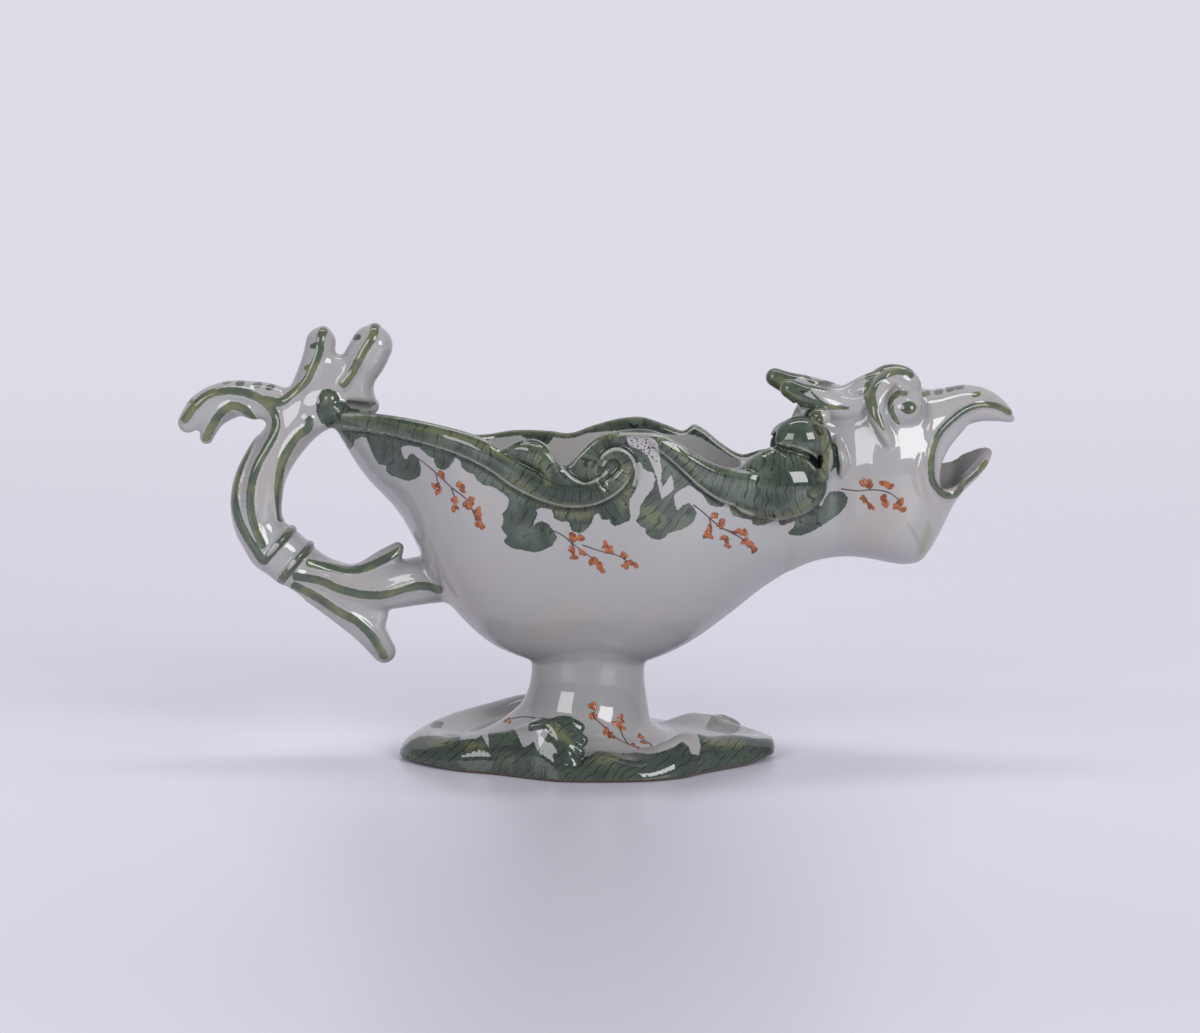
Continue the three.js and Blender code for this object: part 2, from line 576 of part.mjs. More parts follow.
const headSeat = headBlock(JOINT_GAP);
place("bowl", bowl());
place("neck_and_head", head());
place("upper_beak", beak());
place("lower_jaw", jaw());

for (const side of [RIGHT, LEFT]) {
  const name = side === RIGHT ? "right" : "left";
  const knobSeat = shellKnob(side, JOINT_GAP);
  const sternSeat = sternScroll(side, JOINT_GAP);
  const bow = scroll(BOW_SCROLL[side], side, 16).subtract(boatSeat).subtract(headSeat);
  place(`shell_knob_${name}`, shellKnob(side).subtract(boatSeat).subtract(headSeat), GREEN);
  place(`stern_scroll_${name}`, sternScroll(side).subtract(boatSeat).subtract(pearl(side, JOINT_GAP)), GREEN);
  place(`bow_scroll_${name}`, bow.subtract(knobSeat).subtract(sternSeat), GREEN);
  place(`brow_${name}`, brow(side).subtract(headSeat));
  place(`eye_${name}`, eye(side).subtract(headSeat).subtract(brow(side, JOINT_GAP)));
  place(`horn_${name}`, horn(side).subtract(headSeat).subtract(knobSeat), GREEN);
}

const strutSeat = planarLimb(STRUT_STOPS, STERN, RIBBED, JOINT_GAP);
const armSeat = planarLimb(ARM_STOPS, STERN, RIBBED, JOINT_GAP);
const hookSeat = planarLimb(HOOK_STOPS, STERN, PLAIN, JOINT_GAP);
const collarSeat = collar(JOINT_GAP);
const spur = planarLimb(LOWER_SPUR_STOPS, STERN, PLAIN).add(planarLimb(SPUR_WEB_STOPS, STERN, PLAIN));

place("handle_strut", planarLimb(STRUT_STOPS, STERN, RIBBED).subtract(boatSeat).subtract(collarSeat));
place("handle_collar", collar());
place("handle_arm", planarLimb(ARM_STOPS, STERN, RIBBED).subtract(boatSeat).subtract(collarSeat));
place("handle_hook", planarLimb(HOOK_STOPS, STERN, PLAIN).subtract(strutSeat));
place("handle_curl", planarLimb(CURL_STOPS, STERN, PLAIN).subtract(hookSeat));
place("thumb_rest", thumbRest().subtract(strutSeat).subtract(hookSeat).subtract(rimSeat));
place("upper_spur", planarLimb(UPPER_SPUR_STOPS, STERN, PLAIN).subtract(armSeat));
place("lower_spur", spur.subtract(armSeat).subtract(collarSeat).subtract(boatSeat));
for (const side of [RIGHT, LEFT]) {
  const name = side === RIGHT ? "right" : "left";
  const seat = strutSeat.add(thumbRest(JOINT_GAP));
  place(`stern_pearl_${name}`, pearl(side).subtract(boatSeat).subtract(seat), GREEN);
}

const hollow = pedestalBlock(PEDESTAL_WALL, -CUT_ABOVE, BOAT_Z - PEDESTAL_FLOOR, 16);
const pedestal = pedestalBlock(0, FOOT_DISH_Z - FOOT_SEAT, BOAT_Z + 8);
const pedestalSeat = pedestalBlock(-JOINT_GAP, FOOT_DISH_Z - FOOT_SEAT - JOINT_GAP, BOAT_Z);
const leafSeat = footLeaf(JOINT_GAP);
place("foot_plate", footPlate().subtract(pedestalSeat).subtract(hollow).subtract(leafSeat), GREEN);
place("foot_leaf", footLeaf().subtract(pedestalSeat), GREEN);
place("pedestal", pedestal.subtract(boatSeat).subtract(hollow));

export default object;
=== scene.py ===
# %% [markdown]
# A sauceboat of tin-glazed earthenware: a boat-shaped bowl on a waved foot, a beaked animal's head as its
# spout and a branched scroll as its handle. The packed model gives the frame: every piece here is made where
# that model has it.

# %% The frame
import math
import bmesh
import bpy
import numpy as np
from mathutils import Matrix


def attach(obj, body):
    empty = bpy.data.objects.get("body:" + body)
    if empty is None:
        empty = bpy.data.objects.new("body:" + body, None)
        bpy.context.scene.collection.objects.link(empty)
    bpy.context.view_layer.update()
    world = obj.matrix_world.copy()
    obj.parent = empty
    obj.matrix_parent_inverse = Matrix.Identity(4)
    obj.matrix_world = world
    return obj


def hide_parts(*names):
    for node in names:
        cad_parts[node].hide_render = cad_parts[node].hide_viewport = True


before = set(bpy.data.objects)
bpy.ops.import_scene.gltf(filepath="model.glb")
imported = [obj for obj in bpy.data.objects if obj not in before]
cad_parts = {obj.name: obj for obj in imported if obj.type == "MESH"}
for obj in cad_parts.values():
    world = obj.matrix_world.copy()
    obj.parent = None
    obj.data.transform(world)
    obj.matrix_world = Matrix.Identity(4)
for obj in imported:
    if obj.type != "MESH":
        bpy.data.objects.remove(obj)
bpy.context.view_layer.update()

import openvdb
from mathutils import Vector
from mathutils.bvhtree import BVHTree


def put(name, data):
    """A new object in the scene."""
    obj = bpy.data.objects.new(name, data)
    bpy.context.scene.collection.objects.link(obj)
    return obj


# %% [markdown]
# The real piece is wet clay that was pressed, rolled and smeared together, so nearly every joint is a soft
# fillet. Bevels between dozens of separate meshes would be hard to keep clean. A field of distances does it
# better: each element is a formula that gives the distance to its surface, the elements melt into each other
# where the smaller distance wins softly, and the surface is meshed where the field is zero. All modelling
# sizes are millimetres.

# %% Soft joints between distances
MM = 0.001


def soft_min(a, b, blend):
    """The smaller of two distances, rounded over a seam as wide as blend."""
    h = np.clip(0.5 + 0.5 * (b - a) / blend, 0, 1)
    return b + (a - b) * h - blend * h * (1 - h)


def soft_max(a, b, blend):
    """The larger of two distances, rounded the same way."""
    return -soft_min(-a, -b, blend)


def ease(x, low, high):
    """Rises softly from 0 at low to 1 at high."""
    t = np.clip((x - low) / (high - low), 0, 1)
    return t * t * (3 - 2 * t)


print("soft_min of 1 and 1 over 0.4 mm:", float(soft_min(np.float64(1), np.float64(1), 0.4)))

# %% [markdown]
# Hand-made forms have no straight lines, so sizes are measured at a few stops and a smooth line runs through
# them. A Bezier curve object could do it too, but a plain function can be asked at millions of points at
# once.

# %% Smooth lines through measured stops
def line_through(stops):
    """A function that runs smoothly through (position, value) stops and stays level past the ends."""
    at, value = (np.array(column, float) for column in zip(*stops))
    slope = np.gradient(value, at)

    def line(x):
        x = np.clip(x, at[0], at[-1])
        i = np.clip(np.searchsorted(at, x, side="right") - 1, 0, len(at) - 2)
        step = at[i + 1] - at[i]
        t = (x - at[i]) / step
        return ((1 + 2 * t) * (1 - t) ** 2 * value[i] + t * (1 - t) ** 2 * step * slope[i]
                + t * t * (3 - 2 * t) * value[i + 1] + t * t * (t - 1) * step * slope[i + 1])

    return line


def smooth_path(stops, step=0.9, space=2):
    """Stops of 2 or 3 coordinates and any widths as a fine path about a step apart, with the length run."""
    stops = np.array(stops, float)
    run = np.concatenate([[0], np.cumsum(np.linalg.norm(np.diff(stops[:, :space], axis=0), axis=1))])
    fine = np.linspace(0, run[-1], max(3, int(run[-1] / step) + 2))
    return np.stack([line_through(list(zip(run, column)))(fine) for column in stops.T], axis=1), fine


path, run = smooth_path([(0, 0, 2), (10, 5, 3), (20, 0, 1)])
print("a test path of", len(path), "points,", round(float(run[-1]), 1), "mm long")

# %% [markdown]
# The relief and the painting of the flank were both worked from the side, so both are drawn once on a flat
# drawing board: x along the boat and v, the height as it is seen from 9 degrees above, where a point further
# out looks lower. Each mark is a stroke, a path with a half width, and the board keeps the distance to it.
# The same strokes then raise the clay and guide the brush, which keeps paint and relief together.

# %% The nearest place on a segment
def to_segment(place, start, end):
    """How far along a segment, from 0 to 1, a place is nearest to it, and the distance, in any dimension."""
    way = [e - s for s, e in zip(start, end)]
    off = [p - s for p, s in zip(place, start)]
    t = np.clip(sum(o * w for o, w in zip(off, way)) / max(1e-6, sum(w * w for w in way)), 0, 1)
    return t, np.sqrt(sum((o - t * w) ** 2 for o, w in zip(off, way)))


print("from (5, 3) to a level segment:", [float(value) for value in to_segment((5.0, 3.0), (0, 0), (10, 0))])

# %% The drawing board
EYE_DISTANCE, EYE_X, EYE_Z = 1500.0, 1.05, 73.0  # the eye stands back from here
LOOK_DOWN = math.radians(9)
LEAN = math.tan(LOOK_DOWN)  # how much lower a point looks for each millimetre further out
BOARD_LOW, BOARD_HIGH, BOARD_STEP = (-128.0, -10.0), (128.0, 134.0), 0.4
FAR_OFF = 99  # the distance where nothing is near
board_x = np.arange(BOARD_LOW[0], BOARD_HIGH[0], BOARD_STEP, dtype=np.float32)
board_v = np.arange(BOARD_LOW[1], BOARD_HIGH[1], BOARD_STEP, dtype=np.float32)
print("board:", len(board_x), "by", len(board_v))


# %% [markdown]
# A stroke only touches the part of the board around it, so only that part is worked out and handed back.

# %% A stroke on the board
def stroke(stops, margin=7.0):
    """Distance past a stroke's edge, its half width and the length along it, on the board around it."""
    path, run = smooth_path(stops)
    low, high = path[:, :2].min(0), path[:, :2].max(0)
    reach = path[:, 2].max() + margin
    i0, j0 = (max(0, int((low[k] - reach - BOARD_LOW[k]) / BOARD_STEP)) for k in (0, 1))
    i1, j1 = (int((high[k] + reach - BOARD_LOW[k]) / BOARD_STEP) + 2 for k in (0, 1))
    x, v = board_x[i0:i1, None], board_v[None, j0:j1]
    edge = np.full((x.shape[0], v.shape[1]), FAR_OFF, np.float32)
    half, along = np.zeros_like(edge), np.zeros_like(edge)
    for a, b, start, end in zip(path[:-1], path[1:], run[:-1], run[1:]):
        t, away = to_segment((x, v), a[:2], b[:2])
        radius = a[2] + t * (b[2] - a[2])
        closer = away - radius < edge
        for kept, new in ((edge, away - radius), (half, radius), (along, start + t * (end - start))):
            np.copyto(kept, new.astype(np.float32), where=closer)
    return (slice(i0, i0 + edge.shape[0]), slice(j0, j0 + edge.shape[1])), edge, half, along


print("a test stroke covers", stroke([(0, 0, 2), (10, 5, 3)])[1].shape, "points of the board")

# %% [markdown]
# Rolls are laid on the board by their rise, and the clay reads the board where the eye sees it.

# %% Rolls on the board, and reading it
def seen(x, y, z):
    """Where a point shows on the board, to an eye that stands back from it on the -y side."""
    near = EYE_DISTANCE / (EYE_DISTANCE + y * math.cos(LOOK_DOWN) - (z - EYE_Z) * math.sin(LOOK_DOWN))
    return EYE_X + (x - EYE_X) * near, EYE_Z + (z - EYE_Z + LEAN * y) * near


def blank(value=0.0):
    """An empty board."""
    return np.full((len(board_x), len(board_v)), value, np.float32)


def raise_roll(board, stops, height, sharp=0.5):
    """A half-round roll of clay along a stroke; height is its rise as a share of its half width."""
    where, edge, half, _ = stroke(stops, 1)
    inside = np.clip(1 - (1 + edge / np.maximum(half, 0.1)) ** 2, 0, 1) * (edge < 0)
    board[where] = np.maximum(board[where], height * half * inside ** sharp)


def read_board(board, x, v):
    """The board's value at places given in millimetres."""
    i = np.clip((x - BOARD_LOW[0]) / BOARD_STEP, 0, len(board_x) - 1.001)
    j = np.clip((v - BOARD_LOW[1]) / BOARD_STEP, 0, len(board_v) - 1.001)
    i0, j0 = i.astype(int), j.astype(int)
    fi, fj = i - i0, j - j0
    return ((board[i0, j0] * (1 - fi) + board[i0 + 1, j0] * fi) * (1 - fj)
            + (board[i0, j0 + 1] * (1 - fi) + board[i0 + 1, j0 + 1] * fi) * fj).astype(np.float32)


print("the top of the foot's middle is seen at", [round(value, 1) for value in seen(0.0, 0.0, 6.4)])

# %% [markdown]
# The boat was pressed in a mould: a lofted hull with a keel line, a breadth line and a rim that waves
# differently on its two sides. Its section is half an ellipse below the sheer and upright above it.

# %% Lines of the boat
STERN_X, NECK_X, BOAT_Z = -80.0, 58.0, 27.0
BOAT_LENGTH = NECK_X - STERN_X
WALL = 4.2


def along_boat(stops, raised=0.0):
    """A line whose stops are (share of the boat's length, value)."""
    return line_through([(STERN_X + share * BOAT_LENGTH, raised + value) for share, value in stops])


keel_line = along_boat([(0, 76), (0.065, 61), (0.159, 45.5), (0.239, 24), (0.319, 11), (0.435, 2.5),
                        (0.565, 0), (0.696, 2.5), (0.783, 8), (0.87, 16.7), (0.957, 26), (1, 29.4)], BOAT_Z)
sheer_line = along_boat([(0, 81), (0.29, 80), (0.652, 80), (0.87, 77), (1, 76)], BOAT_Z)
half_breadth = along_boat([(0, 4), (0.072, 14), (0.159, 23), (0.261, 31), (0.391, 36), (0.536, 38),
                           (0.681, 37), (0.797, 33), (0.906, 27), (1, 22)])
# The rims as they are seen on the board: (x, v).
near_rim = line_through([(-84, 105.6), (-75.6, 105.2), (-62.8, 103.9), (-55.4, 102.7), (-46.9, 100.8),
                         (-40, 99), (-34.9, 97.2), (-28.1, 93.8), (-24.4, 95.6), (-20.6, 96.6), (-17.5, 96.2),
                         (-15.1, 94.8), (-11.4, 89.4), (-9.2, 88.7), (-5, 92.6), (-0.1, 97), (5.2, 98.7),
                         (12.2, 99.6), (18.4, 98.7), (23.8, 95.7), (29.2, 92.6), (34.6, 89.4), (40, 87.8),
                         (44.2, 88.4), (48.1, 91.9), (52.5, 94.4), (57, 98), (61, 108), (66, 122)])
far_rim = line_through([(-84, 105.6), (-75, 104.8), (-62.8, 102.8), (-47, 99.8), (-35.5, 97.9), (-24.1, 99.3),
                        (-13.7, 99), (-8.2, 98.4), (-0.8, 100.8), (7.9, 103), (13.3, 103.3), (21.3, 100.8),
                        (26.6, 99.3), (29.2, 101.1), (31.3, 100.2), (37.4, 95.4), (42.4, 92.3), (49, 91.7),
                        (56, 98), (61, 110), (66, 124)])
print("boat", BOAT_LENGTH, "mm, rim at the arch", round(float(near_rim(12.2)), 1))

# %% [markdown]
# A formula says how far each point lies from that hull. Divided by how fast it grows, it comes close to
# millimetres near the surface, which the soft joints need. The two rims look alike but sit apart, so the far
# side has its own.

# %% Distance to the hull
def hull(x, y, z):
    """Distance to the boat's outside, negative within; x, y and z are open grids."""
    half, sheer, depth = half_breadth(x), sheer_line(x), sheer_line(x) - keel_line(x)
    low = np.maximum(sheer - z, 0) / depth
    side = np.abs(y) / half
    q = np.sqrt(side ** 2 + low ** 2) + 1e-4
    steep = np.sqrt((side / half) ** 2 + (low / depth) ** 2) + 1e-4
    return soft_max((q - 1) * q / steep, STERN_X - x, 3)


def rim_shift(x):
    """How far up a point of the far side moves on the board, so that its rim meets the one drawn there."""
    return (near_rim(x) - far_rim(x) + 2 * LEAN * half_breadth(x)) * ease(x, -78, -60) * ease(-x, -56, -48)


def on_board(x, y, z):
    """Where a point of the outside lies on the board; the far side is drawn as a mirror image."""
    bx, bv = seen(x, -np.abs(y), z)
    return bx, bv + rim_shift(x) * (y > 0)


def above_rim(x, y, z):
    """Height above the rim; the two sides of the rim are drawn apart."""
    bx, bv = seen(x, y, z)
    return bv - near_rim(bx) - (far_rim(bx) - near_rim(bx)) * ease(y, -4, 4)


keel_place = 0.0, 0.0, float(keel_line(0.0))
print("distance at the keel:", round(float(hull(*keel_place)), 2), "mm")

# %% [markdown]
# Rocaille relief: a long roll runs down from the stern and curls up amidships, a small wave breaks over it,
# and a fat roll swells towards the neck and ends in a ball. Thin sharp ridges mark where the leaves overlap.

# %% Rolls and ridges of the flank
# Stops of x, v and half width.
STERN_ROLL = [(-77, 102.4, 2.4), (-65, 100.8, 2.9), (-52.9, 98, 3.1), (-40.9, 94.6, 3.4), (-30.4, 89.8, 3.8),
              (-22.9, 84.9, 4.2), (-15.4, 81.1, 4), (-6.5, 79, 3.8), (1.1, 80.2, 3.4), (6.5, 83.5, 2.8),
              (9.2, 88.1, 2.4), (7, 91.7, 2.1), (3.1, 91.4, 1.8), (1.6, 89, 1.3)]
WAVE_ROLL = [(-28.9, 90.8, 1.6), (-25.3, 92.6, 2.6), (-19.9, 92, 3.8), (-15.1, 89.6, 3.8), (-12.2, 85.3, 3.2),
             (-7.9, 82.3, 2.3), (-1.9, 81.7, 1.5)]
BOW_ROLL = [(17.6, 96, 2), (25.1, 91, 3), (32.5, 85.9, 4.4), (39, 82.6, 5.6), (46, 81, 6), (54, 80, 5.6),
            (62, 81, 4.6)]
BOW_EDGE = [(40, 77.6, 0.8), (46, 74.4, 1.4), (50.5, 73.8, 1.4), (56.5, 74.4, 1.4), (61, 76.2, 1.4),
            (64.6, 79, 1.3), (67, 82.3, 0.9)]
# Thin sharp ridges of the leaves' edges.
THIN_RIDGES = [
    [(7, 98.1, 0.6), (16.1, 97.8, 0.9), (20.6, 97.2, 1), (25.1, 94.5, 1.1), (28.1, 90.8, 1), (31, 87.2, 1),
     (35.5, 82.6, 1), (40, 79, 0.9), (44.5, 76.5, 0.6)],
    [(20.4, 95.6, 0.6), (25.1, 91.7, 1), (28.1, 87.8, 1.1), (31, 83.5, 1)],
    [(-14.5, 78.1, 0.8), (-10.9, 77.1, 1), (-6.5, 76.7, 1.1), (-1.9, 77.4, 1.1), (1.1, 78.4, 1.1),
     (4.6, 80.2, 1.1), (7, 83.2, 1.1), (7.9, 85.5, 0.8)],
    [(1.6, 90.8, 0.8), (3.8, 92.6, 1.1), (6.5, 93.2, 1.2), (9.2, 92, 1.1), (10.9, 89.6, 1.1), (11.8, 86.3, 1),
     (11.3, 82.6, 0.7)],
    [(-26.6, 93.8, 0.8), (-24.4, 95.7, 1), (-21.4, 96.6, 1), (-17.6, 96.3, 1), (-14.5, 93.8, 1.1),
     (-12.2, 89.6, 1.2), (-10, 86.6, 1.2), (-7.3, 84.1, 1.2), (-3.4, 82.6, 1.1), (0.1, 83.8, 1),
     (2.9, 86.3, 0.8)],
    [(-22.9, 85.6, 0.7), (-19.9, 82, 0.9), (-16.1, 80.8, 0.9), (-12.4, 81.1, 0.6)],
    [(-76.6, 104, 0.9), (-62.8, 103.1, 0.9), (-46.9, 100, 0.9), (-34.9, 96.4, 0.9), (-28.1, 93, 0.9)],
    [(64.7, 99.9, 1.6), (67.6, 96.3, 2.2), (69.1, 92.6, 2.4), (69.1, 88.7, 2.2), (67.6, 84.1, 1.4)],
    [(72, 96, 1), (73.4, 92, 1.6), (74, 88, 1.4), (73.4, 85.6, 0.8)],
]
CREASES = [
    [(51.4, 95.4, 0.6), (55, 93.8, 1), (60, 92.6, 1.1), (64, 91, 1.1), (66.4, 88, 0.9)],
    [(1.4, 90, 0.5), (1.1, 88.4, 0.7), (1.1, 85.9, 0.8), (1.9, 82.9, 0.7), (2.9, 81.1, 0.5)],
    [(64, 102.4, 0.4), (66.6, 98.6, 0.45), (67, 94, 0.45), (66.8, 89, 0.4), (65.6, 84, 0.4)],
]
print(len(THIN_RIDGES), "thin ridges and", len(CREASES), "creases")

# %% [markdown]
# Each roll rises by a share of its own half width, so a fat one stands out more, as rolled clay does. The
# creases are kept on a board of their own, because they are cut in after the rim is shaped.

# %% Relief on the flank
flank_relief, flank_creases = blank(), blank()
raise_roll(flank_relief, STERN_ROLL, 0.75)
raise_roll(flank_relief, WAVE_ROLL, 0.8)
raise_roll(flank_relief, BOW_ROLL, 0.52, sharp=0.32)
raise_roll(flank_relief, BOW_EDGE, 1.5)
for ridge in THIN_RIDGES:
    raise_roll(flank_relief, ridge, 1.5)
for crease in CREASES:
    raise_roll(flank_creases, crease, 0.9)
print("relief rises", round(float(flank_relief.max()), 1), "mm")

# %% [markdown]
# The whole field would need more memory than a small computer has, so the pot is worked in blocks. A block is
# an open grid: a formula of x, y and z spreads over it, and a small piece of clay is only worked out in its
# own window.

# %% Blocks of the field
class Block:
    """Open grids of x, y and z over a box of clay, all in millimetres."""

    def __init__(self, low, high, step):
        self.low, self.step = np.array(low, float), step
        count = [int((h - l) / step) + 1 for l, h in zip(low, high)]
        axes = [np.arange(n, dtype=np.float32) * step + l for n, l in zip(count, low)]
        self.x, self.y, self.z = axes[0][:, None, None], axes[1][None, :, None], axes[2][None, None, :]
        self.shape = tuple(count)

    def window(self, low, high):
        """The part of the block that a box covers, as slices and a smaller block."""
        start = [min(max(0, int((l - o) / self.step)), n) for l, o, n in zip(low, self.low, self.shape)]
        stop = [max(s, min(n, int((h - o) / self.step) + 2))
                for s, h, o, n in zip(start, high, self.low, self.shape)]
        part = object.__new__(Block)
        part.low, part.step = self.low + np.array(start) * self.step, self.step
        part.x, part.y, part.z = (self.x[start[0]:stop[0]], self.y[:, start[1]:stop[1]],
                                  self.z[:, :, start[2]:stop[2]])
        part.shape = tuple(e - s for s, e in zip(start, stop))
        return tuple(slice(s, e) for s, e in zip(start, stop)), part


print("a 1 mm block of the boat has", Block((-80, -40, 27), (58, 40, 108), 1.0).shape, "points")

# %% [markdown]
# Three ways to lay on clay are enough for the rest: a loft over sections, a smeared roll and an egg-shaped
# lump. A loft's formula isn't in millimetres, so it is divided by its own slope, which makes it one near the
# surface.

# %% Lofts
def true_distance(value, step):
    """Turns a value that is zero at a surface into a distance near it."""
    slope = np.gradient(value, step)
    return value / np.maximum(np.sqrt(sum(g * g for g in slope)), 0.012)


def mixed_line(sections, column, at):
    """One column of a table of sections as a smooth line, read at some places."""
    return line_through([(section[0], section[column]) for section in sections])(at)


def loft(b, sections, fullness):
    """Distance to sections given as (x, top, underside, half breadth, height of the widest line)."""
    top, low, half, widest = (mixed_line(sections, column, b.x) for column in (1, 2, 3, 4))
    tall = np.where(b.z > widest, top - widest, widest - low)
    q = ((np.abs(b.y) / half) ** fullness + (np.abs(b.z - widest) / tall) ** fullness) ** (1 / fullness)
    distance = true_distance(np.broadcast_to(q - 1, b.shape), b.step)
    return soft_max(distance, np.maximum(sections[0][0] - b.x, b.x - sections[-1][0]), 1.0)


test_block = Block((-5, -5, -5), (5, 5, 5), 1.0)
test_field = loft(test_block, [(-4, 3, -3, 3, 0), (4, 3, -3, 3, 0)], 2.0)
print("a round bar fills", int((test_field < 0).sum()), "points of its block")

# %% [markdown]
# A smeared roll or a lump melts into the clay that is there already. The blend says over how many
# millimetres, as a wet finger does on the real piece. The same roll can be cut out as a groove.

# %% Rolls and lumps
def smear(field, b, stops, blend, cut=False):
    """Adds a round roll over stops (x, y, z, radius), or cuts it out."""
    path, _ = smooth_path(stops, 0.8, space=3)
    reach = path[:, 3].max() + 3 + blend
    where, part = b.window(path[:, :3].min(0) - reach, path[:, :3].max(0) + reach)
    if 0 in part.shape:
        return
    near = np.full(part.shape, FAR_OFF, np.float32)
    for a, c in zip(path[:-1], path[1:]):
        t, away = to_segment((part.x, part.y, part.z), a[:3], c[:3])
        near = np.minimum(near, away - a[3] - t * (c[3] - a[3]))
    field[where] = soft_max(field[where], -near, blend) if cut else soft_min(field[where], near, blend)


def lump(field, b, middle, radii, blend):
    """Adds an egg-shaped lump."""
    middle, radii = np.array(middle), np.array(radii)
    where, part = b.window(middle - radii - 4, middle + radii + 4)
    if 0 in part.shape:
        return
    u, v, w = ((o - m) / r for o, m, r in zip((part.x, part.y, part.z), middle, radii))
    q = np.sqrt(u * u + v * v + w * w) + 1e-4
    near = q * (q - 1) / np.sqrt((u / radii[0]) ** 2 + (v / radii[1]) ** 2 + (w / radii[2]) ** 2 + 1e-8)
    field[where] = soft_min(field[where], near, blend)


test_field = np.full(test_block.shape, 9.0)
lump(test_field, test_block, (0, 0, 0), (3, 3, 3), 1.0)
print("a 3 mm ball fills", int((test_field < 0).sum()), "points of its block")

# %% [markdown]
# The head was modelled by hand from a hollow neck: a skull with a hooked beak, curled brows, round eyes and
# laid-back horns. The skull and the beak are lofts over sections; brows, horns and folds are rolls of clay
# smeared on.

# %% Lines of the head
# Sections: x, top, underside, half breadth, height of the widest line.
HEAD_SECTIONS = [(50, 106.5, 54, 25, 100), (58.3, 107.5, 56.8, 21.4, 97), (64, 108.4, 59.2, 18.2, 88),
                 (70, 109.2, 60.6, 14.8, 83), (76, 110.8, 61, 14.5, 81), (82, 113, 60.4, 16.3, 82),
                 (88, 114, 59.2, 17, 84), (93, 112.8, 58.7, 16.2, 84.5), (98, 111, 60.4, 14.6, 87),
                 (102, 110.8, 66.4, 12.8, 93), (106, 111.4, 74.6, 10.4, 97), (109.6, 111.4, 82, 8, 99)]
BEAK_SECTIONS = [(99, 110.6, 90, 12.6, 101), (105.3, 111.6, 94, 10.8, 102.6), (109, 112.6, 99, 9.6, 105.4),
                 (113, 112.5, 101, 8.2, 106.6), (117, 111.4, 101.4, 6.9, 106.4),
                 (121, 108.8, 101.2, 5, 105.2), (123.6, 106, 100.9, 3.2, 103.6),
                 (125, 103.6, 101.4, 1.6, 102.6)]
THROAT_SECTIONS = [(50, 125, 60, 18, 96), (55, 122, 60.8, 17, 93), (64, 103.6, 64, 13, 87),
                   (74, 105, 66, 11.2, 85), (84, 105, 66.4, 11.6, 86), (92, 103, 68.4, 11, 88),
                   (98, 100, 75, 9.8, 88), (104, 98, 79.5, 8.4, 89), (112, 97, 82.4, 8, 90)]
# The outline of the open mouth: x, z.
MOUTH = [(140, 101.6), (123, 101.6), (118.4, 102.1), (114.5, 102), (110, 100.4), (106.7, 97.4), (103.9, 93.6),
         (102.6, 90), (102.2, 86.5), (102.7, 83.2), (104.2, 81.2), (106.4, 80.8), (108.6, 82.4),
         (111.2, 85.6), (115, 89.4), (119, 92.2), (140, 104)]
# Rolls of the animal's left: x, y, z, radius.
BROW = [(94.8, 3.2, 113.6, 2), (92.6, 3.6, 115.4, 2.3), (89, 4.6, 116, 2.5), (85.2, 8, 114.4, 2.5),
        (82.7, 12.2, 110.4, 2.4), (82.9, 14.6, 105.8, 2.2), (84.8, 15.6, 101.2, 1.8), (86.6, 15.8, 97.4, 1)]
BROW_GROOVE = [(89.4, 10.6, 112.6, 1.6), (87, 15, 109, 2), (86.8, 17.4, 105, 1.6), (88.5, 19, 102, 0.8)]
TEMPLE_MIDDLE, TEMPLE_RADII = (86.4, 8.6, 108.4), (5.6, 6.4, 7.4)
EYE_MIDDLE, EYE_RADIUS = (92.2, 11.2, 107.2), 3.7
EYELID = [(EYE_MIDDLE[0] + x, EYE_MIDDLE[1] + y, EYE_MIDDLE[2] + z, radius) for x, y, z, radius in
          [(-0.2, 3.4, 4.4, 0.9), (-4, 3, 2.4, 1), (-4.8, 3, -1.4, 1), (-3.2, 3, -4.6, 0.8)]]
HORNS = {-1: [(77, 9, 107, 3), (71, 8.6, 107.6, 4.4), (66, 9.2, 109.4, 4.2), (61, 8.8, 111, 3.5),
              (57.4, 8.4, 112.8, 2.9)],
         1: [(76, 9, 107.4, 3), (70, 8.4, 108.4, 4.2), (63, 8.8, 110.6, 3.9), (57, 8.6, 112.4, 3.3),
             (53.6, 8.4, 114, 2.8)]}
CROWN_FOLDS = [[(66, 3.5, 109, 2.4), (74, 4.5, 109.8, 2.2), (81, 5, 113, 2.4), (86, 5, 115, 2.2)],
               [(73, 9.5, 107.5, 1.6), (78, 10.4, 108.6, 1.7), (82, 10, 111, 1.5)]]
# The shell that hides the joint: knob, big front lobe and small curl; the far one sits lower, as the far rim
# does.
SHELL_LUMPS = [((60.4, 18.6, 98.9), (8.2, 6.2, 7), 1.2), ((53.6, 20.6, 85.8), (14.6, 8.2, 10.6), 1.6),
               ((66.2, 15.5, 105.6), (3.4, 3, 2.6), 1.2)]
SHELL_DROP = {-1: 0, 1: 5.8}
FOREHEAD_MIDDLE, FOREHEAD_RADII = (89.6, 0, 108.4), (7.4, 10.4, 8.2)
# Where the boat turns into the neck, and its well into the throat.
NECK_FADE, THROAT_FADE = (53, 61), (53, 58)
print("beak reaches x", BEAK_SECTIONS[-1][0])

# %% [markdown]
# The open mouth is an outline cut straight through the beak, and the lower jaw is a cupped tongue laid into
# it.

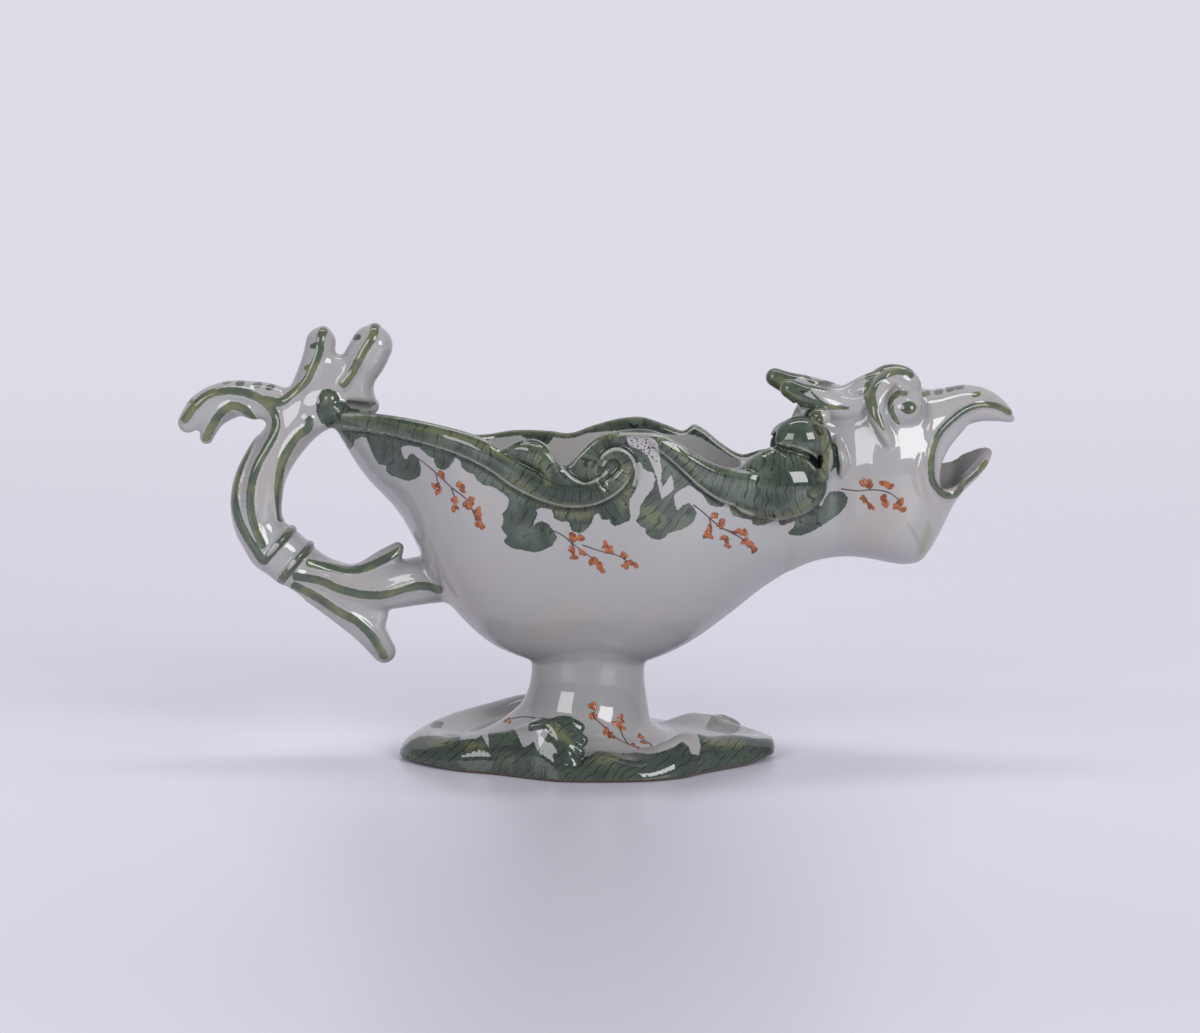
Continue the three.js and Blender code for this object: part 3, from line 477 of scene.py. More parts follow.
# %% Distance past an outline
def past_outline(x, z, outline):
    """Signed distance to a closed outline over a column of x and a row of z, negative inside."""
    gap, inside = np.full((x.shape[0], z.shape[1]), 1e9, np.float32), np.zeros((x.shape[0], z.shape[1]), bool)
    for (ax, az), (cx, cz) in zip(outline, outline[1:] + outline[:1]):
        gap = np.minimum(gap, to_segment((x, z), (ax, az), (cx, cz))[1])
        if cz != az:
            inside ^= ((az > z) != (cz > z)) & (x < (cx - ax) * (z - az) / (cz - az) + ax)
    return np.where(inside, -1, 1) * gap


mouth_outline = [tuple(p) for p in smooth_path(MOUTH, 1.5)[0]]
print("mouth outline of", len(mouth_outline), "points")

# %% The lower jaw
jaw_line = line_through([(96, 78), (101, 78.6), (104, 79.4), (107.5, 81), (110, 83.8), (113.8, 87.6),
                         (116.8, 90.8), (118.4, 92.4)])
jaw_half = line_through([(96, 8.2), (104, 8.4), (108, 7.8), (112, 6.4), (115, 4.8), (116.8, 3), (117.8, 1.2),
                         (118.2, 0.2)])
JAW_TILT, JAW_CUP, JAW_THICK, JAW_ROOT = 0.36, 0.07, 1.4, 98
JAW_STEEP = 1.4  # how much steeper than level the jaw runs


def jaw(b):
    """The lower beak: a cupped tongue of clay that turns up at its tip."""
    middle = jaw_line(b.x) + JAW_TILT * b.y + JAW_CUP * b.y ** 2
    across = soft_max(np.abs(b.z - middle) / JAW_STEEP - JAW_THICK, np.abs(b.y) - jaw_half(b.x), 1.6)
    return soft_max(across, JAW_ROOT - b.x, 1)


print("the jaw is", JAW_THICK * 2, "mm thick and", 2 * round(float(jaw_half(104)), 1), "mm broad")

# %% [markdown]
# Boat, neck and skull fade into each other over 8 mm, which gives the long soft neck of the real piece. Then
# the rolls go on, from the horns to the folds round the eyes, each on both sides.

# %% The whole head
def add_skull(field, b):
    """Cross-fades the boat into the neck, skull and beak."""
    skull = soft_min(loft(b, HEAD_SECTIONS, 2.2), loft(b, BEAK_SECTIONS, 2.1), 2.5)
    share = ease(b.x, *NECK_FADE)
    field[:] = field * (1 - share) + skull * share
    lump(field, b, FOREHEAD_MIDDLE, FOREHEAD_RADII, 3)


def mirrored(stops, side):
    """Stops of the animal's left on the given side, 1 for left and -1 for right."""
    return [(x, side * y, *rest) for x, y, *rest in stops]


def add_face(field, b):
    """The rolls of clay smeared on the head."""
    ex, ey, ez = EYE_MIDDLE
    for side in (-1, 1):
        smear(field, b, mirrored(HORNS[side], side), 2.2)
        lump(field, b, (TEMPLE_MIDDLE[0], side * TEMPLE_MIDDLE[1], TEMPLE_MIDDLE[2]), TEMPLE_RADII, 2.5)
        for fold in CROWN_FOLDS:
            smear(field, b, mirrored(fold, side), 2.4)
        smear(field, b, mirrored(BROW_GROOVE, side), 1.8, cut=True)
        smear(field, b, mirrored(BROW, side), 1.6)
        lump(field, b, (ex - 0.6, side * ey, ez), np.full(3, EYE_RADIUS + 1.3), 1.6)
        lump(field, b, (ex + 0.2, side * (ey + 1.6), ez), np.full(3, EYE_RADIUS), 0.3)
        smear(field, b, mirrored(EYELID, side), 0.9)


print("the face has", 2 * (len(CROWN_FOLDS) + 4), "rolls and", 3 * 2, "lumps")

# %% [markdown]
# The lip and the folds of the cheek are thin raised lines, so they are drawn on the board like the relief of
# the boat.

# %% Relief of the head
head_relief = blank()
LIP = [(123.8, 104.7, 0.9), (121.6, 106, 1), (118.3, 106.9, 1.1), (113.8, 106.6, 1.1), (110.5, 105.3, 1.1),
       (106.6, 102.3, 1.1), (103, 98.4, 1.1), (101, 93.8, 1.1), (100.4, 88.1, 1.1), (100.8, 84, 1.1),
       (102.8, 80.8, 1.1), (105.3, 79.2, 1.1), (107.5, 79.6, 1)]
raise_roll(head_relief, LIP, 0.9)
for fold in ([(97.5, 92, 0.8), (96.4, 86, 1.4), (97.6, 80.5, 1.2), (100.5, 76.5, 0.6)],
             [(86.2, 99.6, 1.4), (87.8, 96.9, 1.3), (87.6, 93.2, 0.8)],
             [(94, 71, 0.8), (97, 68, 1.6), (98, 63, 1.2)]):
    raise_roll(head_relief, fold, 0.5)
print("head relief rises", round(float(head_relief.max()), 1), "mm")

# %% [markdown]
# The handle is a rolled branch bent in one plane: a strut, a lower arm, a leaf that hooks back, a forked
# thumb rest and two thorns. Its limbs are wider than they are deep, so each is an egg-shaped section along a
# flat path.

# %% Limbs of the handle
LIMB_FULLNESS = 2.4  # 2 is an ellipse, more is squarer
# Each stop: x, z, half width across the handle, half depth in its plane.
HANDLE_LIMBS = {
    "strut": [(-80, 106.4, 6.6, 6), (-86.4, 103.2, 7, 6.4), (-92.4, 97.6, 7.2, 6.7), (-97.8, 90, 7.4, 6.9),
              (-101.6, 80.6, 7.4, 7.2), (-101.6, 70.6, 7.4, 7.1), (-97.4, 63.8, 7.6, 7)],
    "arm": [(-97.4, 63.8, 7.4, 6.8), (-90, 58.6, 7.4, 6.9), (-81, 53.4, 7, 6.4), (-72, 51.2, 6.6, 6),
            (-62, 51.6, 6.6, 6.6), (-54, 53.4, 7.4, 7.2), (-44, 54.4, 7.6, 7)],
    "collar": [(-95.9, 63.4, 8.2, 7.7), (-91.6, 59.6, 8.2, 7.7)],
    "hook": [(-91, 104.4, 4.8, 5), (-96.6, 107.2, 4.9, 5.6), (-103, 108.6, 4.9, 5.3), (-111, 108.8, 4.9, 4.9),
             (-118.4, 105.4, 4.7, 4.4), (-122.2, 101.4, 3.2, 3)],
    "curl": [(-110, 106, 2.6, 3.4), (-114, 103, 2.7, 3.2), (-116, 99.2, 2.4, 2.5), (-116.6, 97, 1.8, 1.9)],
    "rear finger": [(-88, 107.6, 5.2, 5.2), (-84.8, 115.4, 5.4, 4.9), (-83, 121.6, 5.2, 4.6),
                    (-82.2, 125.6, 4.8, 4.5)],
    "front finger": [(-75, 107.6, 4.8, 5), (-72, 115.4, 5.6, 5.6), (-68.8, 121.2, 6.4, 6.4),
                     (-67, 124.6, 6, 6.2)],
    "finger root": [(-72.6, 113, 5.2, 5), (-70.6, 106.4, 5.4, 5.2)],
    "web": [(-80.4, 108, 6, 5.6), (-78.4, 117, 5, 4.6)],
    "upper thorn": [(-68, 55, 3.6, 5), (-62.8, 60.2, 2.8, 3.4), (-59.8, 63.8, 1.4, 1.5)],
    "lower thorn": [(-84, 50.6, 3.4, 4.6), (-75.6, 44.6, 4.8, 4.9), (-68.6, 38.4, 4.4, 4.6),
                    (-64, 32, 3.2, 3.6)],
    "thorn web": [(-72, 46.4, 4, 4.8), (-66.4, 43, 3.4, 3.6)],
}
print("the handle has", len(HANDLE_LIMBS), "limbs")

# %% [markdown]
# A point's distance to a limb has two parts: how far it is from the path in the handle's plane, as a share of
# the limb's depth, and how far out of the plane, as a share of its breadth.

# %% One limb
def planar_limb(b, stops):
    """Distance to a limb of egg-shaped section along a path in the handle's plane."""
    path, _ = smooth_path(stops, 1.2)
    x, z = b.x[:, 0, 0][:, None], b.z[0, 0][None, :]
    best = np.full((x.shape[0], z.shape[1]), 1e9, np.float32)
    far, wide, deep = (np.ones_like(best) for _ in range(3))
    for a, c in zip(path[:-1], path[1:]):
        t, away = to_segment((x, z), a[:2], c[:2])
        breadth, depth = (a[k] + t * (c[k] - a[k]) for k in (2, 3))
        closer = away / depth < best
        for kept, new in ((best, away / depth), (far, away), (wide, breadth), (deep, depth)):
            np.copyto(kept, new.astype(np.float32), where=closer)
    far, wide, deep = (a[:, None, :] for a in (far, wide, deep))
    u, v = far / deep, np.abs(b.y) / wide
    q = (u ** LIMB_FULLNESS + v ** LIMB_FULLNESS) ** (1 / LIMB_FULLNESS) + 1e-4
    return q * (q - 1) / np.sqrt((u / deep) ** 2 + (v / wide) ** 2 + 1e-6)


test_field = planar_limb(test_block, [(-4, 0, 2, 2), (4, 0, 2, 2)])
print("a test limb fills", int((test_field < 0).sum()), "points of its block")

# %% [markdown]
# The painted stripes run along low ridges, so the ridges are raised on a board along the stripes' own paths.
# Two short bands cross the joint of strut and arm.

# %% Ridges of the handle
# Paths of the stripes: x, v.
HANDLE_STRIPES = [
    [(-123.4, 102.5), (-120.4, 106.6), (-117.1, 109.6), (-111.1, 111.2), (-105.1, 110.5), (-100, 108.1),
     (-96.8, 104.5), (-96.1, 101.1), (-97, 97.5), (-99.1, 93.5), (-101.8, 88.4), (-103.8, 79.9),
     (-103.3, 72.3), (-100.3, 64.4)],
    [(-99.1, 108.4), (-94.6, 107.8), (-91.6, 110.1), (-87.1, 114.2), (-84.8, 118.7), (-83.2, 122.7),
     (-82.6, 127.7), (-81.9, 129.4)],
    [(-117.1, 96.9), (-115, 101.1), (-112, 105.1), (-109.6, 106.6), (-106, 105.7), (-103.6, 103),
     (-103, 99.6), (-104.5, 94.5), (-107.2, 87.8), (-108.8, 79.9), (-107.5, 72.6), (-105.1, 67.4),
     (-100.3, 59.8)],
    [(-86.2, 102.3), (-86.2, 100.5), (-89.5, 97.5), (-92.2, 93.8), (-94.3, 89.3), (-95.4, 81.4),
     (-94.6, 72.6)],
    [(-66.3, 131.2), (-67, 128.2), (-69.8, 123.2), (-72.2, 118.7), (-73.7, 116), (-75.8, 113.3)],
    [(-86, 58.8), (-80.8, 57.7), (-74, 56.8), (-69.5, 57.4), (-64.6, 59.5), (-58.8, 62.7)],
    [(-90, 54.8), (-83.1, 53.5), (-76.2, 50.7), (-69.5, 49.2), (-63.8, 49.2), (-57.8, 51), (-51.4, 51.9),
     (-47.2, 50.7)],
    [(-90.5, 51.9), (-84.5, 48.9), (-77.2, 44), (-71.5, 40.8), (-67, 36.1), (-63.8, 30.7)],
    [(-90, 70.5), (-99.6, 59.5)], [(-84.5, 65.7), (-94.6, 53.5)],
]
handle_relief = blank()
for ends in ([(-89.4, 70.4, 0.9), (-95, 65.4, 1.2), (-99.8, 60, 0.9)],
             [(-84.6, 65.2, 0.9), (-90, 60, 1.2), (-94.6, 54.2, 0.9)]):
    raise_roll(handle_relief, ends, 0.8)
for stripe in HANDLE_STRIPES[:-2]:  # the last two run on the bands
    raise_roll(handle_relief, [(x, v, 2.1) for x, v in stripe], 0.32, sharp=0.8)
print(len(HANDLE_STRIPES), "stripes, relief up to", round(float(handle_relief.max()), 1), "mm")

# %% The whole handle
HANDLE_BOX = (-127, -12, 26), (-43, 12, 134)


def add_handle(field, b):
    """All limbs melted together, with their ridges, and then onto the boat."""
    where, part = b.window(*HANDLE_BOX)
    handle = np.full(part.shape, FAR_OFF, np.float32)
    for name, stops in HANDLE_LIMBS.items():
        handle = soft_min(handle, planar_limb(part, stops), 0.8 if name == "collar" else 2.6)
    handle = handle - read_board(handle_relief, *seen(part.x, -np.abs(part.y), part.z))
    field[where] = soft_min(field[where], handle, 3.0)


print("the handle's box:", HANDLE_BOX)

# %% [markdown]
# The foot is a hand-cut dish with a waved rim that rolls over at its edge, on a waisted stem. Both are hollow
# below, as thick clay would crack in the kiln. The dish is written round its middle: how far out its edge and
# how high its rim lie in each direction.

# %% Lines of the foot
# The foot's middle, the dish's thickness there, how far out its crest lies as a share, and the stem's wall.
FOOT_X, FOOT_FLOOR, FOOT_CREST, STEM_WALL = -1.4, 6.4, 0.83, 5.4
# Round the edge: x and y from the middle, and the height of the rim there.
FOOT_EDGE = [(59, 0, 6.4), (51.6, -12, 8.4), (42, -21, 9.6), (33, -29, 12), (28, -34.5, 10.6), (18, -39.5, 6),
             (2, -41.2, 8.2), (-6, -41, 7), (-11, -40, 13), (-16, -37.6, 17.4), (-24, -33, 15),
             (-30, -29.6, 12.8), (-42, -24.5, 10.6), (-52, -16, 8.6), (-58, -6, 8.2), (-57, 5, 8.4),
             (-51, 16, 9.6), (-38, 27, 11.4), (-20, 37, 13), (-2, 41.8, 8.4), (18, 38, 5.4), (30, 32, 5.6),
             (36, 28, 8.4), (44, 21, 7.6), (53, 12, 6.8)]
# Up the stem: z, half length, half breadth, x of its middle.
STEM_SECTIONS = [(0, 35, 31, -8), (6.4, 28, 25, -8), (10.9, 22.6, 20, -6.2), (15, 19.6, 17, -4),
                 (20, 17.8, 15.6, -3), (26, 17, 14.8, -2.6), (30, 17.2, 14.8, -2.4), (34, 18.4, 15.6, -2)]


def around(column):
    """The foot's edge or rim height as a smooth closed line over the direction."""
    turned = sorted((math.atan2(y, x), (math.hypot(x, y), h)[column]) for x, y, h in FOOT_EDGE)
    before = [(way - 2 * math.pi, value) for way, value in turned[-3:]]
    after = [(way + 2 * math.pi, value) for way, value in turned[:3]]
    return line_through(before + turned + after)


edge_reach, rim_height = around(0), around(1)
print("foot", round(edge_reach(0.0) + edge_reach(math.pi)), "mm long")

# %% [markdown]
# Dish and stem are two formulas that melt together over 5 mm. A shell of five lobes sits on the near rim, a
# flat lobe on the far one, and last of all the underside and the hollow of the stem are cut out.

# %% The whole foot
STEM_TOP, HOLLOW_TOP = 34, 21
FAR_LOBE_MIDDLE, FAR_LOBE_RADII = (37.8, 23.6, 2.8), (7, 7, 4.6)
# The shell on the near rim: five lobes that fan out from one root, each a stroke of (x, y, z, radius).
FOOT_SHELL = [[(-14, -31.6, 16, 1.4), (-9, -32, 16.8, 1.8), (-5, -32.2, 15, 1.7)],
              [(-13, -33, 14.6, 1.4), (-8.6, -33.8, 14, 1.8), (-4, -34.6, 11.6, 1.7)],
              [(-12.4, -34.4, 12.6, 1.4), (-8.6, -35.4, 10.8, 1.8), (-5, -36, 8.4, 1.7)],
              [(-12.6, -35.8, 10.8, 1.4), (-9.6, -37, 8.2, 1.7), (-7, -37.4, 5.8, 1.5)],
              [(-19, -33, 15.6, 1.2), (-14, -33.4, 16, 1.5), (-10.6, -35.4, 12.2, 1.5), (-8, -37.6, 8.2, 1)]]


def add_foot(field, b):
    """The dish, the stem and their hollow."""
    x, y = b.x - FOOT_X, b.y
    way, out = np.arctan2(y, x), np.hypot(x, y)
    share, rim = out / edge_reach(way), rim_height(way)
    outer = np.sqrt(np.clip(1 - ((share - FOOT_CREST) / (1.0 - FOOT_CREST)) ** 2, 0, 1))
    inner = ease(share, 0.5, FOOT_CREST) ** 2
    top = np.where(share > FOOT_CREST, rim * outer, FOOT_FLOOR + (rim - FOOT_FLOOR) * inner)
    # The underside rises a little at both ends, and more within the ring that the piece stands on.
    lift = 0.5 * ease(-x, 36, 50) + 1.7 * ease(x, 44, 57)
    under = lift + 2.6 * ease(-share, -0.9, -0.8)
    dish = true_distance(np.broadcast_to(b.z - top, b.shape), b.step)
    dish = soft_max(soft_max(dish, (share - 1) * edge_reach(way), 1.0), under - b.z, 1.0)
    long, broad, middle = (mixed_line(STEM_SECTIONS, column, b.z) for column in (1, 2, 3))
    u, v = (b.x - middle) / long, b.y / broad
    q = np.sqrt(u * u + v * v) + 1e-4
    stem = q * (q - 1) / np.sqrt((u / long) ** 2 + (v / broad) ** 2 + 1e-8)
    field[:] = soft_min(field, soft_max(stem, b.z - STEM_TOP, 1), 1.6)
    field[:] = soft_min(field, dish, 5)
    lump(field, b, FAR_LOBE_MIDDLE, FAR_LOBE_RADII, 3)
    for lobe in FOOT_SHELL:
        smear(field, b, lobe, 1.3)
    field[:] = soft_max(field, under - b.z, 1.0)
    field[:] = soft_max(field, -soft_max(stem + STEM_WALL, b.z - HOLLOW_TOP, 3), 2)


print("shell of", len(FOOT_SHELL), "lobes")

# %% [markdown]
# The order of the real work is kept: the boat, then foot and head luted on, the relief, the rim cut, the face
# and the shells smeared on, the handle, and last the hollows carved out. Whatever comes after a carving stays
# whole, such as the pearls at the stern and the jaw.

# %% The whole pot as one field
PEARLS = [(-79.6, -5, 109.2, 2.7), (-76.6, -5.8, 106, 2.3), (-68, 8.6, 105.4, 2.7)]
STERN_WEB = [(-79, 0.5, 106.6, 4.2), (-75, 2.4, 105.8, 4), (-70.6, 5.6, 105.4, 3.4)]
# Where a form begins or ends, in x or z, so that a block that lies beyond can leave it out.
FOOT_END, HEAD_START, FACE_START, ARM_END, WEB_END, MOUTH_START = 25, 50.5, 90, -42, -60, 100


def clay(b):
    """The distance to the pot's surface over a block; a step is left out where the block doesn't reach it."""
    top = b.low + np.array(b.shape) * b.step
    field = np.array(np.broadcast_to(hull(b.x, b.y, b.z), b.shape), np.float32)
    inside = field + WALL
    if b.low[2] < FOOT_END:
        add_foot(field, b)
    if top[0] > HEAD_START:
        add_skull(field, b)
        past_neck = ease(b.x, *THROAT_FADE)
        inside = inside * (1 - past_neck) + loft(b, THROAT_SECTIONS, 2.2) * past_neck
    flank = on_board(b.x, b.y, b.z)
    field -= read_board(flank_relief, *flank) * ease(np.abs(b.y), 1, 5)
    if top[0] > FACE_START:
        field -= 0.8 * read_board(head_relief, *seen(b.x, -np.abs(b.y), b.z))
    rim = above_rim(b.x, b.y, b.z)
    field = soft_max(field, rim * 0.95, 2.2)
    if top[0] > HEAD_START:
        add_face(field, b)
    for side in (-1, 1):
        for (x, y, z), radii, blend in SHELL_LUMPS:
            lump(field, b, (x, side * y, z - SHELL_DROP[side]), radii, blend)
    field += read_board(flank_creases, *flank)
    if b.low[0] < ARM_END:
        add_handle(field, b)
    field = soft_max(field, -soft_max(inside, rim - 3, 1), 1.4)
    if b.low[0] < WEB_END:
        smear(field, b, STERN_WEB, 1.4)
    for x, y, z, r in PEARLS:
        lump(field, b, (x, y, z), np.full(3, r), 1.2)
    if top[0] > MOUTH_START:
        mouth = past_outline(b.x[:, 0], b.z[0], mouth_outline)[:, None, :]
        field = soft_max(field, -np.broadcast_to(mouth, b.shape), 1.2)
        field = soft_min(field, jaw(b), 1.2)
    return field


print("pearls:", len(PEARLS))

# %% [markdown]
# A volume grid turns the field's zero surface into quads. Each block is cut flat where the next one starts,
# and the cut is filled, so that every piece is a closed solid. The field's slope serves as the normals, and
# the field's bend tells the glaze where it would run thin or pool, and where painted highlight and painted
# shade go.

# %% From field to mesh
NARROW_BAND = 3.0  # the field is only needed this near to the surface


def between(grid, at):
    """A grid's value at points given in its own steps."""
    at = np.clip(at, 0, np.array(grid.shape) - 1.001)
    start = at.astype(int)
    f = (at - start).astype(np.float32)
    value = 0
    for dx in (0, 1):
        for dy in (0, 1):
            for dz in (0, 1):
                weight = ((f[:, 0] if dx else 1 - f[:, 0]) * (f[:, 1] if dy else 1 - f[:, 1])
                          * (f[:, 2] if dz else 1 - f[:, 2]))
                value = value + weight * grid[start[:, 0] + dx, start[:, 1] + dy, start[:, 2] + dz]
    return value


print("between two grid points of 0 and 1:",
      float(between(np.indices((2, 2, 2))[0], np.array([[0.5, 0, 0]]))[0]))

# %% A mesh cut flat and capped
def skin(name, b, field, cuts):
    """Meshes a field's zero surface, in millimetres, cut flat and capped by (where, point, normal)."""
    volume = openvdb.FloatGrid()
    volume.background = NARROW_BAND
    volume.copyFromArray(np.ascontiguousarray(np.clip(field, -NARROW_BAND, NARROW_BAND), np.float32))
    points, quads = volume.convertToQuads(0.0)
    mesh = bpy.data.meshes.new(name)
    mesh.vertices.add(len(points))
    mesh.vertices.foreach_set("co", (points * b.step + b.low).astype(np.float32).ravel())
    mesh.loops.add(quads.size)
    mesh.loops.foreach_set("vertex_index", quads.astype(np.int32).ravel())
    mesh.polygons.add(len(quads))
    mesh.polygons.foreach_set("loop_start", np.arange(0, quads.size, 4, dtype=np.int32))
    mesh.update(calc_edges=True)
    form = bmesh.new()
    form.from_mesh(mesh)
    for where, point, normal in cuts:
        faces = [f for f in form.faces if where(f.calc_center_median())]
        near = {e for f in faces for e in f.edges} | {v for f in faces for v in f.verts}
        cut = bmesh.ops.bisect_plane(form, geom=faces + list(near), dist=1e-5, plane_co=point,
                                     plane_no=normal,
                                     clear_outer=True)
        edges = [e for e in cut["geom_cut"] if isinstance(e, bmesh.types.BMEdge)]
        if edges:
            bmesh.ops.triangle_fill(form, use_beauty=True, use_dissolve=False, edges=edges)
            left = [e for e in form.edges if len(e.link_faces) == 1]
            if left:
                bmesh.ops.triangulate(form, faces=bmesh.ops.holes_fill(form, edges=left, sides=0)["faces"])
    bmesh.ops.delete(form, geom=[v for v in form.verts if not v.link_faces], context="VERTS")
    bmesh.ops.recalc_face_normals(form, faces=form.faces)
    open_edges = sum(1 for e in form.edges if len(e.link_faces) != 2)
    form.to_mesh(mesh)
    form.free()
    print(name, len(mesh.polygons), "faces,", open_edges, "open edges")
    return mesh


print("meshing within", NARROW_BAND, "mm of the surface")

# %% Places, normals and bends of a mesh
def vertex_places(mesh):
    """A mesh's points as rows of x, y and z."""
    places = np.empty(len(mesh.vertices) * 3, np.float32)
    mesh.vertices.foreach_get("co", places)
    return places.reshape(-1, 3)


def soft_normals(mesh, b, field):
    """The field's own slope as the normal of each point, which hides both the grid and the seams."""
    at = (vertex_places(mesh) - b.low) / b.step
    slope = np.stack([between(g, at) for g in np.gradient(field)], axis=1)
    return slope / np.maximum(np.linalg.norm(slope, axis=1, keepdims=True), 1e-6)


BEND_REACH = 0.9


def bend(mesh, b, field):
    """How sharply the clay turns at each point, per millimetre: positive on edges, negative in hollows."""
    at, hop = (vertex_places(mesh) - b.low) / b.step, BEND_REACH / b.step
    ways = ((1, 0, 0), (-1, 0, 0), (0, 1, 0), (0, -1, 0), (0, 0, 1), (0, 0, -1))
    around = sum(between(field, at + hop * np.array(way)) for way in ways)
    return (around - len(ways) * between(field, at)) / BEND_REACH ** 2


print("a bend is read", BEND_REACH, "mm round each point")

# %% [markdown]
# The pieces meet on flat cuts where little paint crosses: at the neck, the stern, the handle's arm, the stem,
# round the belly and along the middle of the rims. Fine relief gets a fine grid, and the plain belly a coarse
# one.

# %% Pieces and their cuts
NECK_CUT, STERN_CUT, ARM_CUT, STEM_CUT, BELT_CUT, MIDDLE_CUT = 50.0, -79.3, -57.0, 24.0, 60.0, 0
LOOP_Z = 66.6  # a height at which the finger loop is open from the strut to the boat


def everywhere(place):
    return True


def above_loop(place):
    return place.z > LOOP_Z


def on_arm(place):
    return place.x < -45 and 36 < place.z < LOOP_Z and abs(place.y) < 9.5


def keep(axis, way, level, where=everywhere):
    """What skin() cuts by: keeps what lies below a level of x, y or z with way 1, and above with way -1."""
    point, normal = [0, 0, 0], [0, 0, 0]
    point["xyz".index(axis)], normal["xyz".index(axis)] = level, way
    return where, tuple(point), tuple(normal)


print("a cut keeps what lies before the neck:", keep("x", 1, NECK_CUT)[1:])

# %% [markdown]
# Each piece is a block, with the size of its grid's steps, and the cuts that end it. The loop then does the
# real work, and it takes most of the script's time.

# %% The six pieces of clay
flank_cuts = [keep("x", 1, NECK_CUT), keep("x", -1, STERN_CUT), keep("z", -1, BELT_CUT)]
arm_off = keep("x", -1, ARM_CUT, on_arm)
PIECES = {
    "faience_bowl": (Block((-72, -41, 22), (52, 41, 62), 0.8), [
        keep("x", 1, NECK_CUT), keep("z", -1, STEM_CUT), keep("z", 1, BELT_CUT), keep("x", -1, ARM_CUT)]),
    "faience_flank_right": (Block((-82, -44, 58), (52, 1.5, 134), 0.46),
                            flank_cuts + [keep("y", 1, MIDDLE_CUT), arm_off]),
    "faience_flank_left": (Block((-82, -1.5, 58), (52, 44, 134), 0.5),
                           flank_cuts + [keep("y", -1, MIDDLE_CUT), arm_off]),
    "faience_head": (Block((48.4, -33, 52), (127.6, 33, 121.5), 0.52), [keep("x", -1, NECK_CUT)]),
    "faience_handle": (Block((-127.5, -12.5, 26), (-55, 12.5, 134), 0.5), [
        keep("x", 1, ARM_CUT), keep("x", 1, STERN_CUT, above_loop)]),
    "faience_foot": (Block((-61, -45, -1.2), (59, 45, 27), 0.55), [keep("z", 1, STEM_CUT)]),
}
meshes, normals, bends = {}, {}, {}
for name, (block, cuts) in PIECES.items():
    field = clay(block)
    meshes[name] = skin(name, block, field, cuts)
    normals[name] = soft_normals(meshes[name], block, field)
    bends[name] = bend(meshes[name], block, field)
print("faces in all:", sum(len(mesh.polygons) for mesh in meshes.values()))

# %% [markdown]
# The painting is in-glaze colour: grey-green leafage laid on the relief, green stripes down the limbs,
# yellower strokes on the ridges and fine dark hatching. Painting in a picture would fix its sharpness and
# need an unwrapped mesh. Here every point of the clay instead keeps its distance to the edge of each brush
# mark, and the material turns the distances into strokes with a brushed edge, so the painting stays sharp and
# follows the relief.

